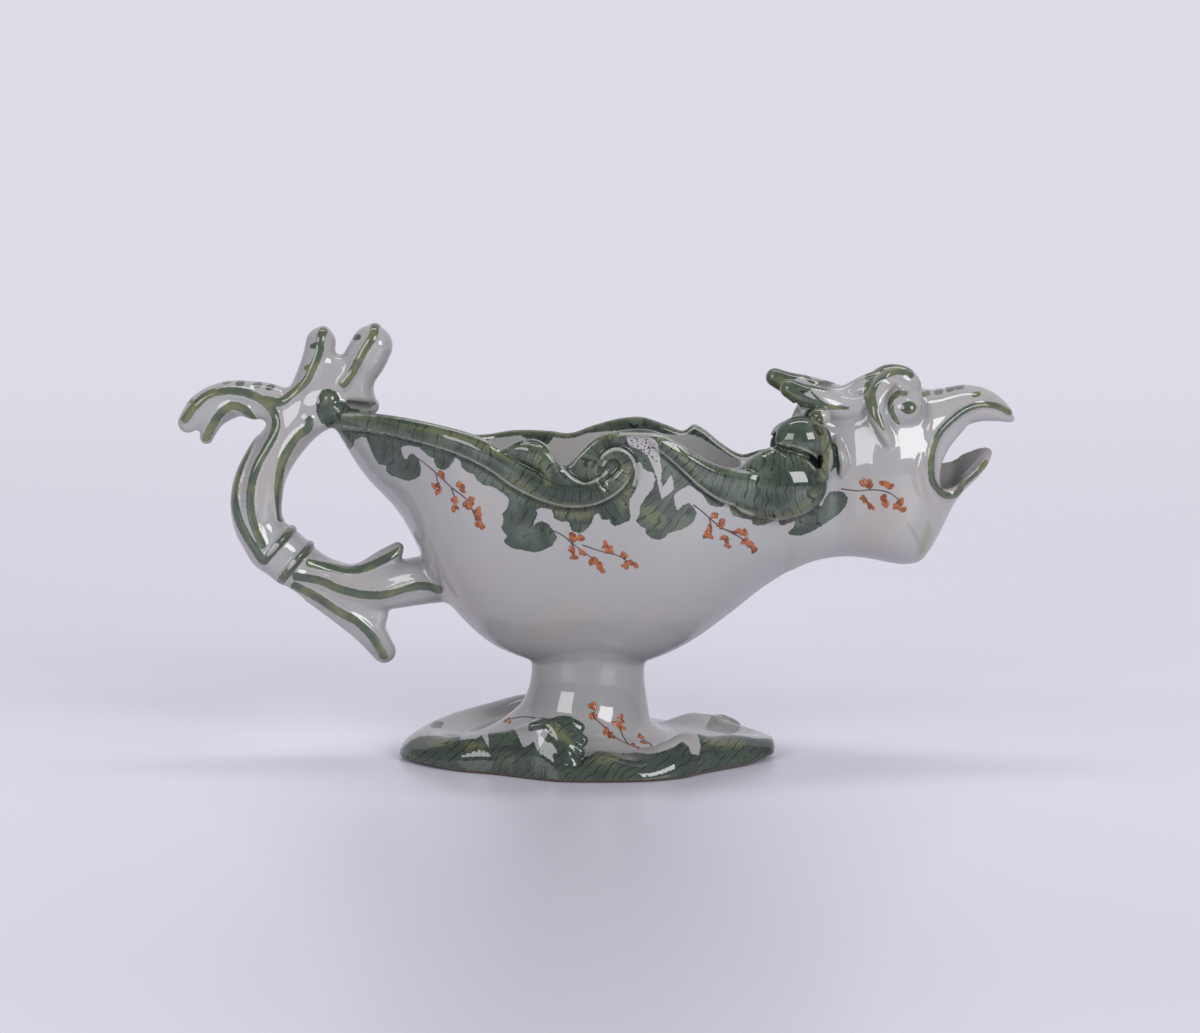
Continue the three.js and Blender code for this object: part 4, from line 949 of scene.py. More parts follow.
# %% Outline of the leafage
# The lower edge of the green from the handle to the neck, leaf by leaf, closed above the rim: x, v.
LEAFAGE = [
    (-84.1, 104.8), (-83, 102), (-80.8, 100.2), (-77.8, 99), (-76, 96.3), (-74, 93.2), (-72.8, 94.5),
    (-72.5, 96.3), (-70.6, 97.2), (-69.1, 96.9), (-68, 94.1), (-67, 91.7), (-65.5, 89), (-63.1, 88.4),
    (-63.1, 86.6), (-61.3, 85.3), (-58.9, 84.4), (-56.5, 83.8), (-54.4, 84.4), (-52.9, 85.3), (-52.6, 87.8),
    (-53.5, 90.8), (-55, 92.3), (-56.2, 91.7), (-57.1, 90.2), (-58.3, 91.7), (-58.6, 93.8), (-57.4, 94.5),
    (-55.4, 94.5), (-52.9, 93.8), (-51.8, 92.6), (-49.9, 91.1), (-48.8, 90.8), (-48.8, 89.6), (-48.1, 88.1),
    (-46.9, 87.2), (-45.1, 87.2), (-43.9, 88.4), (-43, 89.6), (-42.4, 91.1), (-40.9, 90.2), (-40.4, 87.8),
    (-38.5, 86.3), (-36.8, 85.9), (-35.9, 84.1), (-34, 82.6), (-31.9, 82.3), (-29.8, 81.4), (-28.9, 80.5),
    (-26.8, 79), (-26.2, 78.1), (-26.8, 75.6), (-28.3, 73.8), (-27.8, 72), (-28.6, 69.5), (-26.8, 66.8),
    (-27.8, 65.6), (-27.1, 64.4), (-24.8, 63.2), (-21.4, 62.6), (-18.8, 62), (-16.1, 62.6), (-13.3, 64.1),
    (-11.8, 66.8), (-13, 68.9), (-14.5, 70.8), (-16.6, 71.7), (-18.4, 70.8), (-19.3, 69.5), (-18.4, 72),
    (-17.6, 73.8), (-18.1, 75), (-16.9, 75.6), (-13.9, 75.3), (-13, 74.1), (-12.8, 72.6), (-10.7, 71.4),
    (-7.9, 71.4), (-8.2, 70.2), (-7.3, 68.6), (-5, 67.7), (-2.5, 69.5), (-1.3, 71.4), (-0.8, 73.2),
    (0.4, 74.4), (1.1, 73.5), (1.3, 72.3), (2.9, 71.7), (4, 72.3), (4.3, 70.8), (5.5, 69.9), (7.6, 70.8),
    (9.8, 71.7), (10.3, 73.2), (9.8, 75.6), (10, 78.1), (10.7, 79.3), (11.8, 81.1), (12.4, 84.1),
    (11.8, 86.6), (10.9, 88.7), (13, 89.6), (13.9, 87.8), (15.4, 86.6), (16.9, 86.6), (17.6, 84.1),
    (16.9, 81.7), (15.8, 80.2), (14.2, 78.1), (13, 75.9), (13, 74.1), (11.8, 71.7), (13, 70.2), (14.8, 69.2),
    (14.8, 67.7), (16.6, 66.2), (18.8, 65.9), (20.6, 66.8), (22.3, 68.3), (25.1, 68.9), (27.4, 69.9),
    (29.2, 71.7), (30.1, 74.1), (29.2, 75.9), (27.8, 77.1), (25.9, 76.5), (24.1, 74.7), (23.6, 76.5),
    (23.2, 79), (23.8, 80.2), (25.1, 81.1), (26.8, 82), (28.1, 82.6), (30.1, 80.8), (31.9, 79.6),
    (32.9, 77.7), (34, 76.5), (35.9, 75.9), (37.6, 75.9), (39.1, 77.1), (40, 75.9), (40.6, 73.5), (43, 72.6),
    (46.6, 72), (46.9, 70.5), (48.4, 70.2), (50.5, 70.5), (52.6, 71.4), (54.4, 72.3), (54.8, 70.5),
    (55.9, 70.2), (58, 71.1), (59.8, 71.7), (58.9, 69.5), (57.4, 68.3), (57.8, 67.4), (61, 67.1),
    (64.6, 68.3), (68.5, 70.8), (72.5, 73.5), (74.8, 76.2), (75.5, 78.7), (74.5, 80.2), (72.5, 80.8),
    (70, 80.5), (68.8, 79), (67.6, 76.5), (66.8, 75.9), (67, 78.1), (66.1, 80.5), (66.1, 82), (67.3, 82),
    (68.2, 83.5), (69.5, 84.1), (69.8, 85.9), (71, 87.5), (71.8, 88.4), (72.1, 86.3), (73.3, 84.7),
    (74.2, 86.6), (74.8, 89.3), (74, 91.7), (72.5, 94.1), (70.6, 96), (70.3, 97.5), (69.5, 99.3), (68, 100.8),
    (68, 103), (67, 105.4), (65, 106.3), (63.1, 105.1), (62.2, 103.3), (59.8, 102.7), (56.9, 101.7),
    (54.1, 99.6), (52.4, 96.9), (49, 98.5), (43, 98), (31, 105), (19.1, 108), (1.1, 109), (-22.9, 109),
    (-40.9, 109), (-58.9, 108), (-66, 107.6), (-72, 106.8), (-77, 106.6), (-79, 107.4), (-80, 111.6),
    (-82.4, 111.6), (-84, 109),
]
# Bare glaze inside it: the slip of a leaf turned over, with dark speckles at its top.
BARE_LEAF = [(8.8, 96.9), (10, 94.5), (13, 93.2), (15.4, 91.4), (16.9, 88.4), (18.1, 84.7), (18.8, 81.1),
             (19.6, 78.1), (21.4, 79.6), (23.2, 81.4), (22.9, 84.1), (22.3, 85.9), (21.4, 84.1), (19.6, 81.7),
             (19.3, 84.1), (19.6, 87.2), (19.1, 90.2), (18.8, 93.2), (18.4, 95.1), (17.6, 96.3), (15.4, 97.5),
             (13, 98.1), (10.7, 97.8)]
# The green of the foot's face, up to the lip, and the shell.
FOOT_LEAFAGE = [
    (-62, -12), (-62, 1), (-57.8, 3), (-56, 5), (-53, 6.2), (-50, 6.4), (-46, 6.6), (-42, 6.6), (-40.4, 6),
    (-41.4, 5), (-36, 5.6), (-34.4, 6.6), (-33, 4), (-32, 2.2), (-32.6, 7.2), (-30.4, 7.9), (-27.4, 7.9),
    (-25.4, 9.2), (-23.9, 7.2), (-23, 5), (-21.8, 2.8), (-20, 3.8), (-18.8, 4.8), (-17.6, 1.6), (-16, 4.4),
    (-14.4, 7.4), (-13.4, 9.2), (-14, 10.8), (-19.4, 11.6), (-19.6, 12.8), (-13.4, 12.6), (-10.4, 12.6),
    (-7.4, 12), (-4.4, 11.2), (-3, 9.6), (-3.4, 7.8), (-4, 7.2), (-3, 6.2), (-3.4, 5.2), (-5, 4.9), (-4, 3),
    (-4, 1.6), (-5.6, 1.2), (-7, 1.8), (-8.4, 2.8), (-8, 1), (-5.6, 0), (-2.6, 0.3), (-0.4, 1.8), (2.6, 2.6),
    (7, 2.2), (11.6, 1.4), (16, 0.8), (19.2, 1.4), (22.8, 2.8), (25.6, 4.6), (27.4, 3.6), (28.6, 0.8),
    (30.6, 0.6), (31.4, 3.4), (30, 7.4), (32.6, 8), (35.6, 8), (40, 7), (44.6, 6.2), (47.6, 5.6), (52, 5.6),
    (53.8, 5), (56, 3.4), (62, 3), (62, -12),
]
print(len(LEAFAGE), "points round the leafage,", len(FOOT_LEAFAGE), "round the foot's")

# %% [markdown]
# The finer marks are strokes of a brush: gold on the ridges, dabs on the beak and the handle, green on the
# far rim and in the curls of the face, a pupil and a yellow stain under the chin. Each is a path with a half
# width, as the rolls of the relief are, so a mark can follow a roll by taking over its stops.

# %% Brush marks on it
# Dabs at x, v, and strokes with stops of x, v and half width.
HANDLE_DABS = [(-111.1, 113.9), (-107, 113.3), (-101.8, 112.8), (-98, 112.1), (-122.5, 108.1), (-84.8, 124.7),
               (-86.5, 118.1), (-72.1, 127.3), (98.8, 110.2), (102.5, 110.7), (106, 111.6), (108.8, 112.2),
               (113.8, 109.9)]
GOLD_STROKES = [
    [(17, 97.6, 0.8), (24.6, 92.8, 1), (29, 87.2, 1), (31.4, 83.6, 0.8)],
    [(42, 75, 1.6), (46, 73.2, 1.3), (51.4, 72.4, 1.4), (58, 73.4, 1.3), (63, 76.4, 1.2), (66, 80.6, 0.8)],
    [(-13, 75.6, 1.4), (-8.5, 74.6, 2.2), (-4, 74.2, 2), (-1.6, 74.6, 1.4)],
    [(-29, 84, 1.2), (-26.6, 83, 2.4), (-22, 81.6, 1.6), (-16.5, 77.4, 1.6)],
    [(66, 101.5, 1.3), (68, 97.5, 1.5), (69.4, 92, 1.5), (68.6, 87.6, 1.4), (67.4, 84.4, 0.8)],
    [(8.6, 88, 1), (9.6, 83, 1.6), (8.4, 77, 1.6)], [(15.4, 74.6, 2), (18.6, 71.6, 2.4)],
    [(-18, 91, 1.4), (-15.4, 87, 1.6), (-14.6, 83, 1)],
    [(-60, 100.6, 0.5), (-46, 98.4, 0.9), (-36, 95.4, 0.9), (-24, 89.4, 0.8)],
    [(-2, 97.6, 0.7), (5, 98.2, 1.4), (10, 98.2, 0.9)],
    [(-14, 9.4, 1), (-11, 7, 1.6), (-8, 5, 1)], [(-50, 4, 1), (-44, 5, 1.4)],
    [(-38, 3, 1.4), (-34, 2.6, 1.2)],
    [(1, -1, 1.4), (8, 0.6, 1.2)], [(34, 5, 1.5), (43, 4, 1.4)],
]
FAR_RIM_GREEN = [
    [(-35.5, 98.4, 0.6), (-24, 99, 0.9), (-20, 98, 1.6), (-16, 96.6, 2.1), (-13.5, 98, 1), (-8.2, 98.6, 0.6)],
    [(-8, 98.8, 0.6), (-1, 99.8, 1.2), (8, 101.2, 2.1), (14, 101.2, 2.2), (21, 99.4, 1.4), (26, 98.8, 1)],
    [(26.6, 99.3, 1.2), (29.2, 99.8, 2), (32, 98.2, 1.5), (37.4, 94.4, 1.1), (42.4, 91.4, 1), (49, 91, 1)],
]
FACE_GREEN = [
    [(94, 116.3, 1.4), (91.6, 118, 1.9), (89, 118, 2.2), (85, 116.2, 2.2), (82.8, 113.6, 2), (82, 110.6, 1.8),
     (82.6, 106.8, 1.6), (84.7, 102.3, 1.2), (86.2, 99.6, 0.5)],
    [(92.8, 110.4, 0.7), (90.1, 110.2, 0.9), (88.6, 108.6, 0.9), (88.3, 106, 0.9), (89.4, 103, 0.8),
     (90.8, 101.1, 0.4)],
    [(61.6, 115.1, 0.4), (64.6, 112.7, 0.5), (68.5, 111.8, 0.5), (72.5, 111.8, 0.3)],
    [(64.3, 110.9, 0.3), (69.3, 106.6, 0.5), (74.5, 106, 0.6)],
    [(55, 111.5, 2.6), (58, 109.6, 2.8), (62.8, 107.8, 1.8), (68.5, 106.3, 1), (75.5, 106, 0.4)],
]
FOOT_FAR_PATCHES = [[(32.3, 8.2), (34.4, 12.1), (40, 11.5), (43.4, 10), (42.8, 7.9), (40, 6.7), (35.6, 7.6)],
                    [(-50, 9.6), (-48.4, 11), (-45.6, 10.6), (-46.4, 8.8), (-49, 8.6)]]
PUPIL = [(93, 106, 1.8), (94, 106, 2)]
CHIN_STAIN = [(99.6, 71, 0.6), (99.6, 67.6, 1.6), (98.6, 64, 1.8), (97, 61, 1)]
SPECKLED = [[(11.5, 96.2, 2), (15, 94, 2.8), (17.6, 90, 1.6)], [(-1.6, 26, 0.7), (0.6, 26.5, 0.9)]]
JAW_LIP = [(110, 82.9, 0.9), (113.8, 86.3, 0.9), (116.8, 89.4, 0.8)]
HATCH_GUIDES = [STERN_ROLL, WAVE_ROLL, BOW_ROLL, [(11, 86, 1), (16, 76, 1), (24, 70, 1)]]
print(len(GOLD_STROKES), "gold strokes,", len(HANDLE_DABS), "dabs")

# %% [markdown]
# Boards of the painting hold distances: negative inside a mark, positive outside it. Beyond 9 mm it doesn't
# matter how far a mark is.

# %% Boards of the painting
UNPAINTED = 9.0
NEXT_STROKE = 3.1  # how far one stroke's hatching is set off from the last one's


def stroke_board(strokes, margin=3):
    """Boards of the distance to the nearest stroke's edge and of the length along it."""
    edge, along = blank(UNPAINTED), blank()
    for number, stops in enumerate(strokes):
        where, gap, _, length = stroke(stops, margin)
        closer = gap < edge[where]
        for board, new in ((edge, gap), (along, length + NEXT_STROKE * number)):
            board[where] = np.where(closer, new, board[where])
    return edge, along


def outline_board(outline):
    """A board of the distance past a closed outline."""
    return np.clip(past_outline(board_x[:, None], board_v[None, :], outline), -UNPAINTED, UNPAINTED)


edge_boards = {
    "leaf": np.maximum(outline_board(LEAFAGE), -outline_board(BARE_LEAF)),
    "foot": outline_board(FOOT_LEAFAGE),
    "speckle": stroke_board(SPECKLED)[0],
    "gold": stroke_board(GOLD_STROKES)[0],
    "inner rim": stroke_board(FAR_RIM_GREEN)[0],
    "face": stroke_board(FACE_GREEN)[0],
    "pupil": stroke_board([PUPIL])[0],
    "far foot": np.minimum(*(outline_board(patch) for patch in FOOT_FAR_PATCHES)),
    "stain": stroke_board([CHIN_STAIN])[0],
    "stripe": np.minimum(stroke_board([[(x, v, 1.25) for x, v in stripe] for stripe in HANDLE_STRIPES])[0],
                         stroke_board([[(x - 0.5, v, 0.8), (x + 0.6, v + 0.3, 0.9)]
                                       for x, v in HANDLE_DABS])[0]),
    "lip": stroke_board([[(x, v, 1) for x, v, _ in LIP] + JAW_LIP])[0],
}
hatch_board = stroke_board(HATCH_GUIDES, 26)[1]
print("painted share of the board", round(float((edge_boards["leaf"] < 0).mean()), 3))

# %% [markdown]
# The boards are flat, but the pot isn't: a mark belongs only to the outside, or only to the face, or to the
# inside of the far rim. Round forms such as the horns and the shells are painted all over, by their own
# distance.

# %% Distance to a roll
def roll_gap(points, stops):
    """Distance from points to a round roll over stops (x, y, z, radius)."""
    path, _ = smooth_path(stops, 1.0, space=3)
    gap = np.full(len(points), float(FAR_OFF))
    near = np.flatnonzero(np.all((points > path[:, :3].min(0) - 9) & (points < path[:, :3].max(0) + 9),
                                 axis=1))
    if len(near) == 0:
        return gap
    for a, c in zip(path[:-1], path[1:]):
        t, away = to_segment(points[near].T.astype(float), a[:3], c[:3])
        gap[near] = np.minimum(gap[near], away - a[3] - t * (c[3] - a[3]))
    return gap


print("from (0, 0, 5) to a roll 2 mm thick:",
      roll_gap(np.array([[0, 0, 5.0]]), [(-9, 0, 0, 1), (9, 0, 0, 1)]))

# %% Brush marks on round forms
HORN_PAINT = 0.1, 0.3, 0.6, 1.02, 1.3  # how much of the horn's thickness is green, from root to tip
LOBE_GREEN, LOBE_SIZE = 1.08, 8  # how far out the shells' green reaches, as a share, and a share's length
NEAR_FACE, FAR_FACE, FACE_SIZE = 0.68, 0.86, 40  # where the green of the foot starts, and a share's length


def round_marks(points, outside):
    """Distances to the green marks on the horns and the shell knobs, on both sides."""
    marks = []
    for side in (-1, 1):
        tip = [(x, side * y, z + 1.2, r * k) for (x, y, z, r), k in zip(HORNS[side], HORN_PAINT)]
        marks.append(roll_gap(points, tip))
        for (x, y, z), radii, _ in SHELL_LUMPS[:2]:
            lobe = (points - np.array([x, side * y, z - SHELL_DROP[side]])) / np.array(radii)
            past = (np.linalg.norm(lobe, axis=1) - LOBE_GREEN) * LOBE_SIZE
            marks.append(np.where(outside & (points[:, 2] > 80), past, UNPAINTED))
    for x, y, z, r in PEARLS[:2]:
        marks.append(np.linalg.norm(points - (x, y, z), axis=1) - r - 0.6)
    return np.minimum.reduce(marks)


def foot_marks(points):
    """Distance to the edge of the foot's green, and the hatching's place."""
    x, y, z = points.T
    way, out = np.arctan2(y, x - FOOT_X), np.hypot(x - FOOT_X, y)
    share = out / edge_reach(way)
    bx, bv = seen(x, -np.abs(y), z)
    start = np.where(y < 0, NEAR_FACE, FAR_FACE)
    face = np.maximum(read_board(edge_boards["foot"], bx, bv), (start - share) * FACE_SIZE)
    patches = np.where(y > 0, read_board(edge_boards["far foot"], *seen(x, y, z)), UNPAINTED)
    for lobe in FOOT_SHELL:
        patches = np.minimum(patches, roll_gap(points, [(*stop[:3], stop[3] + 0.5) for stop in lobe]))
    return np.minimum(face, patches), bx * 0.8 - bv * 0.9


print("painted horns:", len(HORNS))

# %% [markdown]
# Some marks end at the rim, since the well and the throat are plain. A point's place says whether it is
# outside: past the middle of the boat's wall, above the rim, or past the throat's own surface.

# %% Outside and inside
def throat_share(x, y, z):
    """How far a point is from the throat's middle line, 1 on the throat's own wall."""
    top, under, half, widest = (mixed_line(THROAT_SECTIONS, column, x) for column in (1, 2, 3, 4))
    return np.hypot(y / half, (z - widest) / np.where(z > widest, top - widest, widest - under))


def outside_of(x, y, z):
    """Whether points lie on the pot's outside, and not in the well or the throat."""
    boat = (hull(x, y, z) > -WALL * 0.55) & (x < 54) | (above_rim(x, y, z) > -1.2) & (x < 56)
    return boat | (x >= 54) & (throat_share(x, y, z) > 1.09)


print("amidships, outside and in the well:", outside_of(*np.array([[10.0, -38, 95], [10, 0, 60]]).T))

# %% [markdown]
# Now all the marks come together at each point of a piece. Where a mark can't be, its distance is set to
# unpainted.

# %% Brush marks at every point of the clay
def brush_marks(name, points):
    """The distances that the material paints by, in millimetres, for one piece."""
    x, y, z = points.T
    flank, face_on = on_board(x, y, z), seen(x, -np.abs(y), z)
    outside, high = outside_of(x, y, z), above_rim(x, y, z)

    def only(where, key, at=flank):
        return np.where(where, read_board(edge_boards[key], *at), UNPAINTED)

    # The leafage keeps off the middle, and off the handle's root on the far side.
    leaf = only(outside & (np.abs(y) > 1.5) & (x > -84) & ((x > -79) | (y < -2.5)) & (z > 50), "leaf")
    if name != "faience_handle":
        rim_line = np.where((x < 58) & (x > -76), np.abs(high + 0.4) - 1.3, UNPAINTED)
        inner = only((hull(x, y, z) < -WALL * 0.3) & (x < 56), "inner rim", seen(x, np.abs(y), z))
        leaf = np.minimum.reduce([leaf, rim_line, inner])
    leaf = np.minimum(leaf, round_marks(points, outside))
    # The web at the stern and the far pearl are left white.
    leaf = np.where((y > 1) & (x < -64) & (x > -79) & (z > 104.6), UNPAINTED, leaf)
    *far_pearl, radius = PEARLS[2]
    leaf = np.where(np.linalg.norm(points - np.array(far_pearl), axis=1) < radius + 0.5, UNPAINTED, leaf)
    leaf = np.minimum(leaf, only((x > 88) & (np.abs(y) > 8), "pupil", face_on))
    face = only((x > 50) & (z > 58) & (np.abs(y) > 2), "face", face_on)
    handle = (x < -59) & (np.abs(y) < 9) & ((z > 107.5) | (x < -79) | (z < LOOP_Z)) | ((x < -44) & (z < 58))
    beak = (x > 96) & (z < 114)
    stripe = np.minimum(only(handle & (z > 28) | beak, "stripe", face_on), only(beak, "lip", face_on))
    marks = {"leaf": leaf, "hatch": read_board(hatch_board, *flank), "stripe": np.minimum(stripe, face),
             "gold": only(outside, "gold"), "speckle": only(outside, "speckle"),
             "stain": only(x > 90, "stain", face_on)}
    if name == "faience_foot":
        leaf, hatch = foot_marks(points)
        marks.update(leaf=leaf, hatch=hatch, gold=read_board(edge_boards["gold"], *face_on), stripe=stripe,
                     stain=np.full(len(points), UNPAINTED))
    return {**marks, "height": z}


test_marks = brush_marks("faience_bowl", np.array([[10.0, -37.0, 95.0]]))
print("a point amidships:", {key: round(float(values[0]), 1) for key, values in test_marks.items()})

# %% [markdown]
# Every piece is set in its place: its points turn from millimetres to metres, it carries its marks, and it is
# told which body it rides on. The packed solids that each piece stands for are then hidden.

# %% Place
for name, mesh in meshes.items():
    points = vertex_places(mesh)
    for mark, values in {**brush_marks(name, points), "bend": bends[name]}.items():
        mesh.attributes.new(mark, "FLOAT", "POINT").data.foreach_set("value", np.asarray(values, np.float32))
    mesh.vertices.foreach_set("co", (points * MM).ravel())
    mesh.polygons.foreach_set("use_smooth", np.ones(len(mesh.polygons), bool))
    mesh.update()
    mesh.normals_split_custom_set_from_vertices(normals[name].tolist())
    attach(put(name, mesh), "root")
print("placed:", list(meshes))

# %% What the pieces stand for
REPLACED = {
    "faience_bowl": ["bowl"],
    "faience_flank_right": ["stern_scroll_right", "bow_scroll_right", "stern_pearl_right"],
    "faience_flank_left": ["stern_scroll_left", "bow_scroll_left", "stern_pearl_left"],
    "faience_head": ["neck_and_head", "upper_beak", "lower_jaw", "brow_right", "brow_left", "eye_right",
                     "eye_left", "horn_right", "horn_left", "shell_knob_right", "shell_knob_left"],
    "faience_handle": ["handle_strut", "handle_collar", "handle_arm", "handle_hook", "handle_curl",
                       "thumb_rest", "upper_spur", "lower_spur"],
    "faience_foot": ["foot_plate", "foot_leaf", "pedestal"],
}
for name, nodes in REPLACED.items():
    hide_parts(*nodes)
print("solids replaced:", sum(len(nodes) for nodes in REPLACED.values()))

# %% [markdown]
# Faience is brown clay under an opaque white tin glaze, with the colours sunk into it. Its look could be
# painted in a picture, or mixed from nodes. Nodes stay sharp at any distance, so every finish here is a small
# tree. They all use the same few steps, which get short names first.

# %% Node helpers
class Tree:
    """A node tree with short ways to add to it; an input is a value or another node's socket."""

    def __init__(self, made):
        self.made = made

    def link(self, source, target):
        self.made.links.new(source, target)

    def node(self, kind, inputs=(), **settings):
        new = self.made.nodes.new(kind)
        for key, value in settings.items():
            setattr(new, key, value)
        for key, value in dict(inputs).items():
            if isinstance(value, bpy.types.NodeSocket):
                self.link(value, new.inputs[key])
            else:
                new.inputs[key].default_value = value
        return new

    def group(self, inner, inputs=()):
        return self.node("ShaderNodeGroup", inputs, node_tree=inner).outputs

    def math(self, operation, a, b=0.0, c=0.0):
        return self.node("ShaderNodeMath", {0: a, 1: b, 2: c}, operation=operation).outputs[0]

    def times(self, a, b):
        return self.math("MULTIPLY", a, b)

    def mix(self, share, a, b):
        """Colour a, with as much of colour b as the share says."""
        return self.node("ShaderNodeMix", {0: share, 6: a, 7: b}, data_type="RGBA").outputs[2]

    def step(self, value, low, high, to_low=0.0, to_high=1.0):
        """Leads a value from low to high over to another range, with soft ends."""
        return self.node("ShaderNodeMapRange", {"Value": value, "From Min": low, "From Max": high,
                                                "To Min": to_low, "To Max": to_high},
                         interpolation_type="SMOOTHSTEP").outputs["Result"]

    def place(self):
        return self.node("ShaderNodeTexCoord").outputs["Object"]

    def noise(self, waves, detail=2.0):
        """Noise on Object coordinates, in waves to the millimetre."""
        return self.node("ShaderNodeTexNoise", {"Vector": self.place(), "Scale": waves / MM,
                                                "Detail": detail}).outputs["Fac"]

    def mark(self, name):
        """A distance that the clay's points carry, in millimetres."""
        return self.node("ShaderNodeAttribute", attribute_name=name).outputs["Fac"]


print("node helpers:", [name for name in vars(Tree) if not name.startswith("_")])

# %% An empty group
def new_group(name, inputs, outputs):
    """An empty shader group, with its inputs' starting values; gives its tree, its inputs and its outputs."""
    tree = Tree(bpy.data.node_groups.new(name, "ShaderNodeTree"))
    sockets = ([(key, "INPUT", value) for key, value in inputs.items()]
               + [(key, "OUTPUT", None) for key in outputs])
    for key, way, value in sockets:
        colour = isinstance(value, tuple) or key == "Colour"
        socket = tree.made.interface.new_socket(key, in_out=way,
                                                socket_type="NodeSocketColor" if colour
                                                else "NodeSocketFloat")
        if value is not None:
            socket.default_value = value
    return tree, tree.node("NodeGroupInput").outputs, tree.node("NodeGroupOutput").inputs


print("groups so far:", len(bpy.data.node_groups))

# %% [markdown]
# A brush leaves a full body of colour with a ragged edge, and the colour pools along its rim. All marks share
# one group that makes this of a distance, so their edges look laid on by the same brush.

# %% A brush mark
tree, given, out = new_group("brush_mark", {"Distance": 0.0, "Ragged": 0.25, "Soft": 0.12}, ("Mask", "Rim"))
bristle = tree.math("SUBTRACT", tree.noise(0.9, 3.0), 0.5)
moved = tree.math("MULTIPLY_ADD", bristle, tree.times(given["Ragged"], 4.0), given["Distance"])
mask = tree.step(moved, given["Soft"], tree.times(given["Soft"], -1.0))
tree.link(mask, out["Mask"])
tree.link(tree.times(tree.step(moved, -0.7, -0.05), mask), out["Rim"])
brush_mark = tree.made
print("group", brush_mark.name)

# %% [markdown]
# The glaze has warm patches where the clay shines through, bluer clouds where it lies thick, rare dark specks
# of kiln dirt and a slightly uneven gloss. Seen from near it also waves a little, which a bump shows well
# enough.

# %% The tin glaze
THICK_GLAZE, KILN_DIRT = (0.336, 0.341, 0.347, 1), (0.16, 0.12, 0.1, 1)
SPECKS_TO_THE_MM, RARE_SPECKS = 0.16, 0.82

tree, given, out = new_group("tin_glaze", {"White": (0.386, 0.385, 0.391, 1),
                                           "Blush": (0.42, 0.365, 0.335, 1)},
                             ("Colour", "Gloss", "Height"))
colour = tree.mix(tree.step(tree.noise(0.045, 3.0), 0.48, 0.66, 0.0, 0.55), given["White"], given["Blush"])
colour = tree.mix(tree.step(tree.noise(0.02, 4.0), 0.3, 0.7, 0.0, 0.35), colour, THICK_GLAZE)
cells = tree.node("ShaderNodeTexVoronoi", {"Vector": tree.place(), "Scale": SPECKS_TO_THE_MM / MM}).outputs
rare = tree.math("GREATER_THAN", tree.node("ShaderNodeSeparateColor", {0: cells["Color"]}).outputs[0],
                 RARE_SPECKS)
dot = tree.times(tree.step(cells["Distance"], 0.055, 0.03), rare)
tree.link(tree.mix(tree.times(dot, 0.7), colour, KILN_DIRT), out["Colour"])
tree.link(tree.step(tree.noise(0.12), 0.3, 0.7, 0.035, 0.075), out["Gloss"])
tree.link(tree.math("ADD", tree.noise(0.09, 1.0), tree.times(tree.noise(0.45, 1.0), 0.12)), out["Height"])
tin_glaze = tree.made
print("group", tin_glaze.name)

# %% [markdown]
# The leaves are hatched with a fine brush. The hatching runs across the rolls of the relief, so it follows a
# place that grows along each roll, with one line for each pitch, and the lines wobble and break off as the
# hand's do.

# %% Hatching
tree, given, out = new_group("hatch_lines", {"Place": 0.0, "Pitch": 2.7, "Thickness": 0.27, "Amount": 0.8},
                             ("Mask",))
turn = tree.math("ADD", tree.math("DIVIDE", given["Place"], given["Pitch"]),
                 tree.times(tree.noise(0.12), 2.4))
saw = tree.math("ABSOLUTE", tree.math("SUBTRACT", tree.math("FRACT", turn), 0.5))
start = tree.math("MULTIPLY_ADD", given["Amount"], -0.2, 0.56)
broken = tree.step(tree.noise(0.25), start, tree.math("ADD", start, 0.08))
share = tree.math("DIVIDE", given["Thickness"], given["Pitch"])
tree.link(tree.times(tree.step(saw, share, tree.times(share, 0.4)), broken), out["Mask"])
hatch_lines = tree.made
print("group", hatch_lines.name)

# %% [markdown]
# On the real piece the green is a thin wash, darker where the brush pressed, with yellower strokes on the
# ridges and dark ink lines. On sharp edges the glaze runs thin, and the sharpest get a pale line that is
# partly a painted highlight. Hollows are darker, partly pooled glaze and partly painted shade, and the stem
# is painted darker as shade. The foot is painted flatter than the boat, so the shares that differ are
# inputs, and one group serves both materials.

# %% Colours of the painting
DARK_LEAF, PALE_LEAF, GREY_LEAF = (0.040, 0.060, 0.044, 1), (0.090, 0.120, 0.088, 1), (0.135, 0.155, 0.150, 1)
# The middle colour of this line darkens the green in hollows: partly pooled colour, partly painted shade.
GOLD_LEAF, POOLED_LEAF_AND_SHADE, HATCH_INK = ((0.150, 0.160, 0.078, 1), (0.02, 0.028, 0.022, 1),
                                     (0.010, 0.013, 0.011, 1))
STRIPE_GREEN, STRIPE_OLIVE, CHIN_YELLOW = ((0.050, 0.078, 0.050, 1), (0.13, 0.15, 0.06, 1),
                                           (0.24, 0.235, 0.13, 1))
# The last colour of this line is painted shade on the stem.
# The middle colour of this line darkens bare glaze in hollows, partly pooled glaze and partly painted shade.
THIN_GLAZE, POOLED_GLAZE_AND_SHADE, STEM_SHADE = (0.36, 0.30, 0.26, 1), (0.27, 0.285, 0.30, 1), (0.285, 0.29, 0.295, 1)
# The first colour of this line is the pale line on the sharpest edges: partly thin glaze, partly a painted
# highlight.
EDGE_GLAZE_AND_HIGHLIGHT, BARE_CLAY = (0.36, 0.39, 0.36, 1), (0.09, 0.055, 0.035, 1)
SPECKLES_TO_THE_MM = 1.1
# Pitch, thickness, amount and strength of the two kinds of hatching.
FINE_AND_BOLD = ((1.15, 0.17, 0.85, 0.45), (2.7, 0.27, 0.8, 0.92))
print("the green is darker than the glaze by", round(THIN_GLAZE[1] / DARK_LEAF[1], 1), "times")

